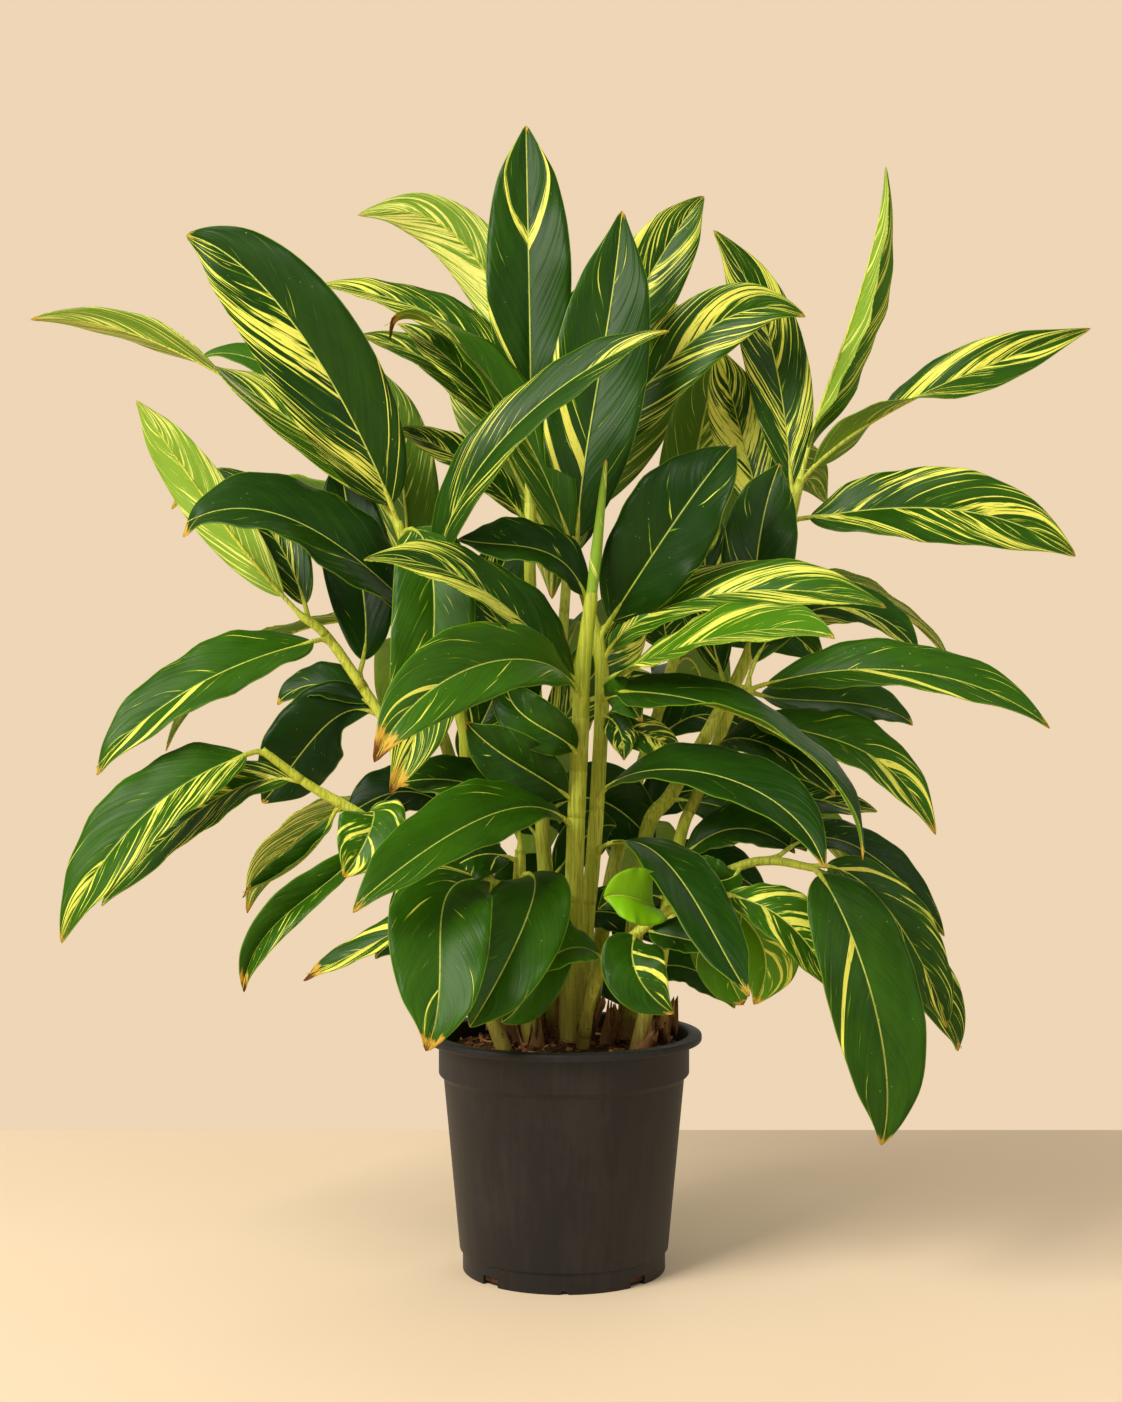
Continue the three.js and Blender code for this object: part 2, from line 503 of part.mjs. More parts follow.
function soilGeometry() {
  const { gap, rings, sectors, grain, crown, edgeHeight } = soil;
  const inner = (radius) => radius - pot.wall - gap;
  const slope = (edgeHeight - pot.band.bottom - pot.wall) / (pot.height - pot.band.bottom - pot.wall);
  const topRadius = THREE.MathUtils.lerp(inner(pot.band.radius), pot.lip.inner - gap, slope) - gap;
  const walls = [
    [inner(pot.base.radius), pot.floor + gap],
    [inner(pot.base.radius), pot.base.height],
    [inner(pot.shoulder.radius), pot.shoulder.height],
    [inner(pot.band.radius) - gap, pot.band.bottom + pot.wall],
    [topRadius, edgeHeight],
  ];
  const ringOf = (radius, height) =>
    Array.from({ length: sectors }, (_, i) => {
      const turn = (2 * Math.PI * i) / sectors;
      return new THREE.Vector3(radius * Math.cos(turn), radius * Math.sin(turn), height(i));
    });
  const all = walls.map(([radius, height]) => ringOf(radius, () => height));
  for (let ring = 1; ring < rings; ring++) {
    const share = 1 - ring / rings;
    const bump = (i) => grain * Math.sin(ring * 5.1 + i * 2.3) * Math.cos(ring * 2.7 - i * 1.7);
    all.push(ringOf(topRadius * share, (i) => edgeHeight + crown * (1 - share * share) + bump(i)));
  }
  let solid = solidOf(skin(all));
  for (const row of Object.values(canes)) {
    solid = solid.subtract(solidOf(skin(caneRings(row, cane.clearance).slice(0, 3))));
  }
  solid = solid.subtract(solidOf(huskTube(cane.clearance)));
  return geometryOf(solid);
}

// Husk: a stub that frays into points.

function huskTube(wider) {
  const { at, radius, foot, shoulder, lean } = husk;
  const low = new THREE.Vector3(at[0], at[1], foot - wider);
  const high = new THREE.Vector3(at[0] + lean[0], at[1] + lean[1], shoulder);
  return skin(tubeRings([low, high], [radius + wider, radius + wider], 8));
}

function huskGeometry() {
  const { at, radius, shoulder, top, lean } = husk;
  let solid = solidOf(huskTube(0));
  for (let i = 0; i < 3; i++) {
    const turn = (i * 2 * Math.PI) / 3;
    const [x, y] = [Math.cos(turn) * radius * 0.4, Math.sin(turn) * radius * 0.4];
    const low = new THREE.Vector3(at[0] + lean[0] + x, at[1] + lean[1] + y, shoulder - 6);
    const high = new THREE.Vector3(low.x + x * 1.6 + lean[0], low.y + y * 1.6, top - i * 5);
    solid = solid.add(solidOf(skin(tubeRings([low, high], [radius * 0.45, 0.8], 6))));
  }
  return geometryOf(solid);
}

function named(name, geometry, { color, roughness }) {
  const material = new THREE.MeshStandardMaterial({ color, roughness, metalness: 0 });
  const mesh = new THREE.Mesh(geometry, material);
  mesh.name = name;
  return mesh;
}

const plant = new THREE.Group();
plant.add(named("pot", potGeometry(), colours.pot));
plant.add(named("potting_soil", soilGeometry(), colours.soil));
plant.add(named("dried_husk", huskGeometry(), colours.husk));
Object.entries(canes).forEach(([name, row], index) => {
  plant.add(named(name, leafyCane(row, index), colours.leaf));
});

export default plant;
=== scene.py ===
import math
import random

import bpy
import numpy as np
from mathutils import Matrix, Vector


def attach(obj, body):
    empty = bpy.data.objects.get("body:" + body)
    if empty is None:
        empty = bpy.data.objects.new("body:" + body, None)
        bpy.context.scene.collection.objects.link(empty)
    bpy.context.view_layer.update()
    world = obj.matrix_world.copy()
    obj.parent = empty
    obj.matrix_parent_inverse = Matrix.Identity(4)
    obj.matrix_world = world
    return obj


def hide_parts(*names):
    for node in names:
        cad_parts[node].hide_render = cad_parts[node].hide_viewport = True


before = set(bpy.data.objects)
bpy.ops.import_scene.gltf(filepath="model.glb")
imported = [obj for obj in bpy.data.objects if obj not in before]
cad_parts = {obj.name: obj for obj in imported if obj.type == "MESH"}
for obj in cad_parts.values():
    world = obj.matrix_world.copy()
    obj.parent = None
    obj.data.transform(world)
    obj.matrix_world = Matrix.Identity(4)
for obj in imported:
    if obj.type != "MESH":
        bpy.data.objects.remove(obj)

bpy.ops.object.select_all(action="DESELECT")
random.seed(7)
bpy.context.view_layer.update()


# Shaders

class Flow:
    # one socket of a shader, written in sums as a number would be

    def __init__(self, tree, socket=None):
        self.tree = tree
        self.socket = socket

    def node(self, kind, settings=None, inputs=None, outputs=(0,)):
        made = self.tree.nodes.new("ShaderNode" + kind)
        for key, value in (settings or {}).items():
            setattr(made, key, value)
        for key, value in (inputs or {}).items():
            if isinstance(value, Flow):
                self.tree.links.new(value.socket, made.inputs[key])
            else:
                made.inputs[key].default_value = value
        flows = [Flow(self.tree, made.outputs[key]) for key in outputs]
        return flows[0] if len(flows) == 1 else flows

    def math(self, operation, *values):
        return self.node("Math", {"operation": operation}, dict(enumerate(values)))

    def __add__(self, other):
        return self.math("ADD", self, other)

    def __radd__(self, other):
        return self.math("ADD", other, self)

    def __sub__(self, other):
        return self.math("SUBTRACT", self, other)

    def __rsub__(self, other):
        return self.math("SUBTRACT", other, self)

    def __mul__(self, other):
        return self.math("MULTIPLY", self, other)

    def __rmul__(self, other):
        return self.math("MULTIPLY", other, self)

    def __truediv__(self, other):
        return self.math("DIVIDE", self, other)

    def __gt__(self, other):
        return self.math("GREATER_THAN", self, other)

    def __abs__(self):
        return self.math("ABSOLUTE", self)

    def ease(self, low, high):  # 0 below low, 1 above high
        inputs = {"Value": self, "From Min": low, "From Max": high}
        return self.node("MapRange", {"interpolation_type": "SMOOTHSTEP"}, inputs)

    def blend(self, zero, one):  # a colour for 0 and a colour for 1
        return self.node("Mix", {"data_type": "RGBA"}, {0: self, 6: zero, 7: one}, (2,))

    def parts(self):
        return self.node("SeparateXYZ", None, {0: self}, (0, 1, 2))

    def joined(self, x, y, z):
        return self.node("CombineXYZ", None, {0: x, 1: y, 2: z})

    def noise(self, scale, detail=2.0, roughness=0.5):
        inputs = {"Vector": self, "Scale": scale, "Detail": detail, "Roughness": roughness}
        return self.node("TexNoise", None, inputs)

    def stretched(self, x, y, z):
        return self.node("VectorMath", {"operation": "MULTIPLY"}, {0: self, 1: (x, y, z)})


def attribute(flow, name):
    return flow.node("Attribute", {"attribute_name": name}, None, ("Vector",)).parts()


def objectPlace(flow):
    return flow.node("TexCoord", None, None, ("Object",))


def paint(red, green, blue):  # a colour as a screen shows it, 0 to 255
    def light(value):
        value /= 255
        return value / 12.92 if value <= 0.04045 else ((value + 0.055) / 1.055) ** 2.4
    return (light(red), light(green), light(blue), 1.0)


def newMaterial(name, **fixed):
    material = bpy.data.materials.new(name)
    material.use_nodes = True
    tree = material.node_tree
    shader = tree.nodes["Principled BSDF"]
    for key, value in fixed.items():
        shader.inputs[key.replace("_", " ")].default_value = value
    return material, Flow(tree), shader


def finishMaterial(flow, shader, colour, rough, height, depth):
    links = flow.tree.links
    links.new(colour.socket, shader.inputs["Base Color"])
    links.new(rough.socket, shader.inputs["Roughness"])
    bump = flow.node("Bump", None, {"Strength": 1.0, "Distance": depth, "Height": height})
    links.new(bump.socket, shader.inputs["Normal"])


# Leaf finish: streaks that run from the midrib out and forward along the side veins.

leafPaint = {
    "top": {
        "dark": paint(20, 54, 2),
        "mid": paint(60, 110, 8),
        # the lime that the lightest leaves turn to: partly paler leaves, partly painted light, the glow of
        # sun through a leaf lit from behind
        "brightAndBacklit": paint(124, 184, 12),
        "lime": paint(130, 170, 26),
        "yellow": paint(232, 231, 98),
        "rib": paint(176, 202, 112),
        "rough": 0.34,
    },
    "under": {
        "dark": paint(84, 120, 30),
        "mid": paint(122, 158, 44),
        # the same lime for undersides: partly paler leaves, partly the painted glow of light through them
        "brightAndBacklit": paint(158, 196, 62),
        "lime": paint(166, 194, 72),
        "yellow": paint(230, 230, 122),
        "rib": paint(178, 198, 92),
        "rough": 0.48,
    },
    "brown": paint(116, 70, 26),
    "tan": paint(206, 168, 62),
    "usualLength": 0.26,
    "streaks": 36,
    "streakEdge": 0.735,
    "streakGain": 0.27,
    "lines": 80,
    "lineEdge": 0.78,
    "lineGain": 0.17,
    "ridges": 60,
    "specks": 330,
    "bandShare": 0.5,
    "veinLean": 0.25,
    "veinCurl": 0.10,
    "sway": 0.05,
    "relief": 0.0011,
}


def leafMaterial(side):
    look = leafPaint[side]
    material, flow, shader = newMaterial("leaf_" + side, IOR=1.45, Specular_IOR_Level=0.2)
    u, v, none = flow.node("UVMap", {"uv_map": "veins"}).parts()
    left, right, tip = attribute(flow, "stripes")
    shade, seed, brown = attribute(flow, "tone")
    length, half, wide = attribute(flow, "extent")
    leftLow, leftHigh, none = attribute(flow, "leftBands")
    rightLow, rightHigh, none = attribute(flow, "rightBands")
    across = v * 2 - 1
    out = abs(across)
    onRight = across > 0
    apart = seed * 17.3 + onRight * 5.7
    sway = flow.joined(u * 4 + apart, out * 1.5, seed * 3).noise(1.0, 1.0) * leafPaint["sway"]
    forward = out * leafPaint["veinLean"] + out * out * out * leafPaint["veinCurl"]
    vein = (u - forward + sway) * length / leafPaint["usualLength"]

    broad = flow.joined(vein * 3.0 + apart, out * 0.7, seed * 9).noise(1.0, 1.0)
    share = (left + (right - left) * onRight) * (0.2 + broad * 1.6) + tip * u.ease(0.45, 0.9) * 0.7
    start = u - forward + sway * 0.6
    low = abs(start - leftLow - (rightLow - leftLow) * onRight)
    high = abs(start - leftHigh - (rightHigh - leftHigh) * onRight)
    band = 1 - (low.math("MINIMUM", low, high) / wide).ease(0.3, 1.0)
    core = band.ease(0.8, 1.0) * (1 - wide.ease(0.085, 0.12))  # narrow bands are solid in their middle
    share = share + band * leafPaint["bandShare"] + core * (0.25 + broad * 0.7)
    streaked = flow.joined(vein * leafPaint["streaks"] + apart, out * 0.9 + apart, seed * 5)
    streaks = streaked.noise(1.0, 3.0, 0.55)
    edge = leafPaint["streakEdge"] - share * leafPaint["streakGain"]
    yellowHere = (streaks - edge).ease(-0.010, 0.010)
    limeHere = (streaks - edge).ease(-0.05, -0.005)
    lines = flow.joined(vein * leafPaint["lines"] + apart, out * 1.8, seed * 3).noise(1.0, 2.0, 0.6)
    thinLine = (lines - (leafPaint["lineEdge"] - share * leafPaint["lineGain"])).ease(-0.01, 0.02)
    dash = flow.joined(vein * leafPaint["ridges"] + apart, out * 6, seed).noise(1.0, 1.0).ease(0.62, 0.66)
    yellowHere = yellowHere * (1 - dash * 0.65)
    yellowHere = yellowHere.math("MAXIMUM", yellowHere, thinLine * 0.8)

    cloud = flow.joined(u * 5 + apart, out * 2, seed).noise(1.0, 3.0, 0.6)
    ridges = flow.joined(vein * leafPaint["ridges"], out * 0.6, seed).noise(1.0, 1.0)
    lightness = shade * 1.1 + cloud * 0.5 + ridges * 0.24 - 0.42
    green = lightness.ease(0.0, 1.0).blend(look["dark"], look["mid"])
    # lightness above 0.75 turns the green to lime: partly paler leaves, partly painted light, the glow of
    # leaves lit from behind
    green = shade.ease(0.75, 1.5).blend(green, look["brightAndBacklit"])
    fine = leafPaint["specks"]
    speck = flow.joined(u * length * fine + apart, across * half * fine, seed * 7).noise(1.0, 0.0)
    green = (speck.ease(0.85, 0.88) * 0.4).blend(green, look["rib"])
    colour = (limeHere * 0.75).blend(green, look["lime"])
    colour = yellowHere.blend(colour, look["yellow"])

    fromRib = out * half * 1000
    ribHere = 1 - fromRib.ease(0.4, 1.2)
    colour = (ribHere * (1 - u * 0.5)).blend(colour, look["rib"])
    fromMargin = (1 - out) * half * 1000
    marginHere = (1 - fromMargin.ease(0.3, 1.1)) * 0.55
    colour = marginHere.blend(colour, look["lime"])

    blotch = flow.joined(u * 16 + apart, across * 2.5, seed).noise(1.0, 3.0, 0.6)
    dryness = (u - 0.975 + brown * 0.12) * 10 + (blotch - 0.5) * 1.6
    colour = dryness.ease(0.05, 0.3).blend(colour, leafPaint["tan"])
    colour = dryness.ease(0.4, 0.75).blend(colour, leafPaint["brown"])

    rough = look["rough"] + cloud * 0.12 + yellowHere * 0.05 + dryness.ease(0.1, 0.5) * 0.3
    quilt = flow.joined(vein * 13 + apart, out * 0.9, seed).noise(1.0, 1.0)
    height = ridges * 0.2 + quilt * 1.0 - ribHere * 0.3
    finishMaterial(flow, shader, colour, rough, height, leafPaint["relief"])
    return material


canePaint = {
    "green": paint(170, 182, 42),
    "pale": paint(212, 220, 82),
    "olive": paint(120, 126, 24),
    "brown": paint(132, 104, 50),
    "dark": paint(54, 38, 20),
    "relief": 0.0006,
}


def caneMaterial():
    material, flow, shader = newMaterial("cane_skin", IOR=1.45, Specular_IOR_Level=0.4)
    place = objectPlace(flow)
    x, y, z = place.parts()
    shade, seed, brown = attribute(flow, "tone")
    grain = place.stretched(1, 1, 0.05).noise(420, 3.0, 0.6)
    cloud = place.stretched(1, 1, 0.35).noise(45, 3.0, 0.6)
    colour = (shade + cloud * 0.9 - 0.45).ease(0.0, 1.0).blend(canePaint["green"], canePaint["pale"])
    colour = (grain.ease(0.46, 0.64) * 0.55).blend(colour, canePaint["olive"])
    low = 1 - (z + (cloud - 0.5) * 0.2).ease(0.235, 0.325)
    colour = (low * (0.4 + brown * 0.6)).blend(colour, canePaint["brown"])
    speck = place.noise(340, 1.0).ease(0.70, 0.74) * (1 - z.ease(0.26, 0.42))
    colour = (speck * 0.8).blend(colour, canePaint["dark"])
    rough = 0.42 + cloud * 0.15 + low * 0.2
    finishMaterial(flow, shader, colour, rough, grain, canePaint["relief"])
    return material


leafTop = leafMaterial("top")
leafUnder = leafMaterial("under")
caneSkin = caneMaterial()
print("materials of leaves and canes made")


# The plant's frame, as in the part's source. Places are [across, up, depth] in mm, on the upright
# plane through the pot's axis as an eye in front of it sees them.

eye = {"distance": 2050, "across": -3, "height": 565}


def placed(points):
    points = np.asarray(points, float)
    across, up, depth = points[..., 0], points[..., 1], points[..., 2]
    reach = (eye["distance"] + depth) / eye["distance"]
    x = eye["across"] + (across - eye["across"]) * reach
    z = eye["height"] + (up - eye["height"]) * reach
    return np.stack([x, depth, z], axis=-1) / 1000


# Each leaf: foot, a third along, two thirds along, tip, width, way of its upper face at the foot and
# at the tip, its look, and its fold where that isn't the usual one. The look is in tenths: yellow on
# the left half and on the right half, with the tip up, more yellow towards the tip, lightness, dryness.
# A lightness above 7 turns the green towards lime: partly paler leaves, partly painted light, the glow
# of sun through a leaf lit from behind.

canes = {}
canes["stem_front"] = {
    "path": [
        (6, 222, 10), (9, 338, 5), (12, 443, 0), (16, 529, -5),
        (19, 600, -9), (30, 690, -13), (42, 806, -18),
    ],
    "radius": [13.5, 9.6, 9, 8.8, 8.2, 6.2, 1],
    "leaves": [
        ((19, 432), (-42, 459, -60), (-121, 427, -140), (-212, 358, -210), 84, "fu", "fu", (1, 0, 0, 5, 2)),
        ((17, 506), (-9, 531, -35), (-44, 554, -30), (-57, 594, -10), 52, "f", "f", (1, 0, 0, 4, 0)),
        ((14, 462), (-23, 488, -25), (-62, 512, -40), (-98, 544, -45), 62, "f", "f", (0, 0, 0, 3, 1)),
        ((19, 580), (-19, 621, -36), (-89, 681, -84), (-200, 708, -130), 82, "fu", "fu", (5, 2, 2, 3, 0)),
        ((18, 560), (-24, 604, -80), (-109, 591, -176), (-190, 504, -230), 84, "uf", "f", (1, 1, 2, 6, 6)),
    ],
}
canes["stem_middle"] = {
    "path": [
        (19, 222, 36), (23, 338, 32), (29, 407, 31), (34, 480, 31),
        (38, 590, 31), (28, 646, 33), (13, 696, 38),
    ],
    "radius": [8.6, 7.6, 7.6, 7.4, 7, 6.2, 4.6],
    "leaves": [
        ((30, 414), (91, 414, -62), (141, 348, -156), (185, 272, -236), 62, "u", "uf", (0, 0, 0, 2, 3)),
        ((34, 465), (90, 496, -60), (187, 478, -170), (261, 399, -260), 72, "fu", "fu", (0, 0, 0, 2, 1)),
        ((36, 566), (50, 570, 0), (62, 566, -20), (78, 544, -30), 40, "f", "f", (1, 1, 0, 5, 3)),
        ((38, 574), (111, 570, -90), (226, 526, -210), (302, 406, -280), 66, "f", "ru", (0, 1, 0, 3, 2)),
        ((36, 551), (50, 544, 12), (58, 528, 4), (60, 506, 0), 30, "f", "f", (4, 4, 3, 3, 2)),
        ((38, 584), (96, 611, -66), (180, 634, -160), (270, 630, -246), 84, "fu", "fu", (3, 3, 1, 9, 0)),
        ((38, 596), (91, 654, 0), (200, 676, -45), (323, 660, -70), 80, "fu", "fu", (4, 4, 1, 6, 0)),
        ((34, 626), (78, 695, 0), (126, 766, -24), (171, 823, -14), 104, "f", "fl", (1, 1, 0, 1, 0)),
        ((13, 696), (-29, 811, 26), (-104, 921, 20), (-183, 938, 26), 84, "uf", "u", (4, 2, 2, 6, 8)),
        ((13, 696), (21, 806, 42), (41, 926, 52), (58, 1056, 70), 102, "f", "f", (2, 0, 0, 3, 0)),
        ((28, 646), (-4, 706, 8), (-54, 721, -6), (-106, 728, -12), 70, "fu", "fu", (0, 1, 0, 2, 0)),
        ((36, 540), (62, 538, 14), (90, 528, 8), (120, 512, 4), 38, "f", "f", (6, 5, 3, 4, 0)),
    ],
}
canes["stem_left"] = {
    "path": [
        (-39, 222, 20), (-84, 360, 14), (-124, 476, 8), (-179, 546, 2),
        (-234, 626, -6), (-261, 649, -10),
    ],
    "radius": [8, 6.6, 5.6, 5.2, 4.6, 3.8],
    "leaves": [
        ((-179, 546), (-224, 551, 26), (-264, 511, 42), (-302, 463, 46), 88, "fu", "f", (0, 0, 0, 1, 1)),
        ((-186, 556), (-219, 576, 40), (-254, 581, 60), (-288, 562, 70), 54, "fu", "fu", (1, 1, 1, 2, 3)),
        ((-236, 628), (-299, 611, -50), (-384, 571, -80), (-472, 494, -96), 78, "fu", "fu", (1, 1, 2, 5, 1)),
        ((-261, 649), (-324, 721, 0), (-379, 796, 8), (-427, 865, 10), 56, "b", "b", (6, 5, 1, 9, 0)),
        ((-255, 645), (-279, 711, 36), (-329, 771, 60), (-394, 758, 72), 62, "f", "fu", (4, 5, 1, 3, 1)),
        ((-209, 586), (-199, 656, 50), (-212, 736, 80), (-224, 811, 90), 76, "f", "f", (0, 0, 0, 1, 0)),
    ],
}
canes["stem_left_low"] = {
    "path": [
        (-62, 222, -30), (-104, 330, -34), (-150, 406, -42), (-199, 448, -50),
        (-255, 481, -58), (-302, 516, -66),
    ],
    "radius": [8, 6.4, 5.4, 5, 4.4, 3.6],
    "leaves": [
        ((-197, 448), (-190, 452, -66), (-197, 428, -88), (-221, 388, -92), 66, "uf", "f", (5, 5, 0, 6, 3)),
        (
            (-224, 465), (-250, 420, -36), (-282, 392, -40), (-324, 373, -46),
            34, "fu", "fu", (2, 1, 1, 5, 6), 1,
        ),
        (
            (-190, 442), (-234, 386, -66), (-289, 341, -84), (-322, 272, -92),
            48, "fu", "f", (3, 1, 1, 5, 6), 0.7,
        ),
        ((-255, 481), (-319, 481, -56), (-389, 436, -50), (-464, 361, -44), 66, "fu", "fu", (2, 3, 2, 4, 0)),
        (
            (-302, 516), (-364, 491, -96), (-439, 431, -118), (-504, 323, -124),
            84, "fu", "fu", (3, 1, 2, 5, 0),
        ),
    ],
}
canes["stem_tall_back"] = {
    "path": [(-9, 222, 72), (-22, 450, 80), (-33, 666, 86), (-34, 746, 88), (-33, 826, 92)],
    "radius": [9, 7.4, 6.4, 6, 4.6],
    "leaves": [
        ((-33, 826), (-34, 926, 96), (-36, 1036, 104), (-38, 1141, 112), 92, "f", "f", (0, 0, 0, 3, 0)),
        ((-33, 818), (-52, 936, 132), (-109, 1031, 146), (-206, 1050, 140), 68, "bu", "b", (7, 7, 3, 6, 0)),
        ((-34, 796), (-69, 856, 66), (-114, 906, 58), (-166, 944, 66), 54, "fu", "fu", (5, 4, 3, 4, 0)),
        ((-33, 812), (-74, 911, 112), (-154, 961, 122), (-244, 983, 124), 58, "fu", "fu", (5, 5, 3, 4, 0)),
        ((-34, 780), (-74, 852, 92), (-139, 907, 98), (-211, 931, 102), 46, "fu", "fu", (5, 5, 3, 4, 0)),
        ((-34, 736), (-69, 781, 76), (-119, 816, 70), (-172, 838, 70), 50, "fu", "fu", (5, 5, 2, 2, 0)),
        ((-34, 770), (-16, 836, 98), (4, 916, 104), (21, 986, 112), 62, "f", "f", (5, 7, 3, 3, 0)),
        ((-33, 800), (26, 886, 134), (86, 991, 144), (140, 1070, 138), 84, "f", "f", (4, 3, 2, 4, 0)),
        ((-34, 786), (46, 841, 114), (136, 931, 92), (241, 950, 60), 84, "fu", "f", (3, 3, 2, 4, 0)),
        ((-26, 540), (-46, 600, 70), (-66, 656, 62), (-92, 700, 60), 66, "f", "f", (3, 3, 1, 3, 0)),
        ((-24, 500), (8, 560, 108), (46, 612, 116), (86, 650, 118), 66, "f", "f", (7, 6, 2, 5, 0)),
        ((-16, 380), (8, 414, 68), (30, 436, 66), (52, 440, 64), 50, "f", "f", (3, 2, 0, 3, 0)),
        ((-14, 330), (20, 352, 82), (60, 350, 86), (104, 318, 88), 60, "fu", "fu", (0, 1, 0, 2, 0)),
        ((-18, 420), (-50, 452, 96), (-86, 462, 104), (-128, 450, 108), 64, "fu", "fu", (0, 0, 0, 1, 0)),
        ((-22, 450), (16, 468, 92), (52, 458, 94), (92, 420, 98), 84, "f", "f", (0, 1, 0, 2, 0)),
    ],
}
canes["stem_right_tall"] = {
    "path": [
        (61, 222, 40), (80, 422, 60), (108, 473, 72), (151, 546, 86),
        (186, 616, 98), (221, 726, 110), (236, 786, 114),
    ],
    "radius": [10.5, 8, 7.2, 6.8, 6.4, 5.8, 4.6],
    "leaves": [
        ((230, 760), (221, 846, 130), (201, 941, 126), (150, 1036, 104), 70, "f", "f", (3, 4, 2, 3, 0)),
        ((216, 710), (188, 791, 154), (171, 856, 160), (152, 921, 156), 66, "f", "f", (7, 6, 3, 3, 0)),
        ((221, 726), (216, 776, 146), (204, 821, 170), (191, 866, 186), 48, "f", "f", (1, 4, 1, 2, 0)),
        (
            (236, 786), (266, 881, 114), (298, 976, 112), (324, 1099, 104),
            62, "rrf", "rrf", (5, 5, 1, 9, 0), 0.9,
        ),
        ((236, 780), (301, 841, 96), (401, 891, 82), (527, 938, 80), 66, "ub", "f", (3, 3, 1, 4, 0)),
        ((228, 745), (303, 756, 82), (406, 754, 62), (512, 710, 52), 88, "fu", "f", (3, 3, 0, 4, 0)),
        ((186, 616), (190, 676, 44), (198, 741, 50), (216, 803, 66), 78, "f", "f", (1, 1, 1, 3, 0)),
        ((165, 570), (146, 640, 118), (141, 706, 128), (148, 766, 132), 62, "f", "f", (4, 4, 1, 2, 0)),
        ((104, 466), (146, 462, 40), (194, 446, 24), (244, 416, 16), 66, "fu", "fu", (2, 3, 1, 3, 0)),
        ((118, 486), (172, 472, 60), (226, 444, 58), (292, 424, 52), 58, "fu", "fu", (5, 3, 1, 3, 1)),
        ((76, 380), (116, 400, 84), (160, 396, 92), (206, 366, 96), 66, "fu", "fu", (1, 1, 0, 2, 0)),
        ((70, 330), (108, 352, 72), (152, 344, 80), (196, 308, 82), 64, "fu", "fu", (0, 1, 0, 3, 0)),
        ((66, 280), (100, 300, 60), (138, 292, 64), (172, 258, 64), 54, "fu", "fu", (0, 0, 0, 3, 0)),
    ],
}
# the high lightness of this shoot's leaves is partly painted light: the glow of sun shining through them from
# behind
canes["shoot_right_low"] = {
    "path": [
        (19, 222, -28), (26, 266, -36), (41, 303, -46), (73, 333, -60),
        (98, 352, -70), (126, 364, -78), (156, 373, -84),
    ],
    "radius": [6.6, 5.6, 5.2, 4.8, 4.4, 4, 3.4],
    "leaves": [
        ((41, 303), (21, 318, -66), (-4, 314, -88), (-28, 292, -100), 52, "fu", "fu", (0, 0, 0, 8, 0)),
        ((73, 333), (68, 316, -86), (76, 286, -104), (110, 252, -110), 64, "f", "f", (2, 0, 0, 4, 1)),
        ((80, 338), (101, 331, -70), (125, 326, -80), (149, 316, -86), 44, "uf", "uf", (0, 0, 0, 3, 0)),
        ((98, 352), (84, 362, -106), (62, 370, -126), (40, 368, -132), 60, "fu", "f", (0, 0, 0, 14, 0), 0.4),
        ((156, 373), (196, 361, -108), (236, 331, -120), (273, 270, -126), 62, "fu", "fu", (5, 3, 3, 6, 1)),
        ((150, 371), (176, 352, -84), (200, 316, -84), (190, 261, -80), 78, "f", "f", (3, 3, 1, 10, 3)),
        ((128, 365), (146, 336, -66), (162, 296, -62), (181, 259, -58), 56, "f", "f", (2, 2, 1, 9, 5)),
    ],
}
canes["stem_left_tall"] = {
    "path": [
        (-34, 222, 50), (-84, 416, 48), (-97, 506, 46), (-101, 542, 46),
        (-124, 626, 44), (-139, 666, 44), (-167, 744, 42),
    ],
    "radius": [10, 7.6, 7, 6.8, 6.4, 6, 4.6],
    "leaves": [
        ((-167, 744), (-204, 831, 12), (-281, 956, -10), (-380, 1032, 0), 108, "f", "f", (4, 0, 1, 2, 0)),
        ((-166, 740), (-254, 831, 62), (-389, 916, 74), (-533, 948, 80), 62, "f", "bu", (6, 6, 2, 5, 1)),
        ((-160, 726), (-214, 824, 122), (-289, 896, 142), (-366, 908, 142), 50, "fu", "fu", (0, 0, 0, 7, 0)),
        ((-130, 640), (-99, 776, -44), (-4, 878, -68), (104, 937, -90), 64, "fu", "uf", (1, 0, 4, 3, 1)),
        ((-128, 634), (-194, 696, -20), (-284, 751, -62), (-387, 739, -84), 104, "fu", "fu", (1, 0, 0, 2, 1)),
        ((-163, 732), (-134, 706, -34), (-134, 596, -54), (-174, 473, -62), 84, "uf", "f", (1, 2, 8, 5, 5)),
        ((-98, 510), (-76, 556, 48), (-60, 596, 50), (-52, 640, 52), 56, "f", "f", (4, 3, 1, 3, 0)),
        ((-66, 340), (-96, 372, 30), (-136, 380, 22), (-176, 350, 18), 56, "fu", "fu", (1, 0, 0, 3, 0)),
    ],
}
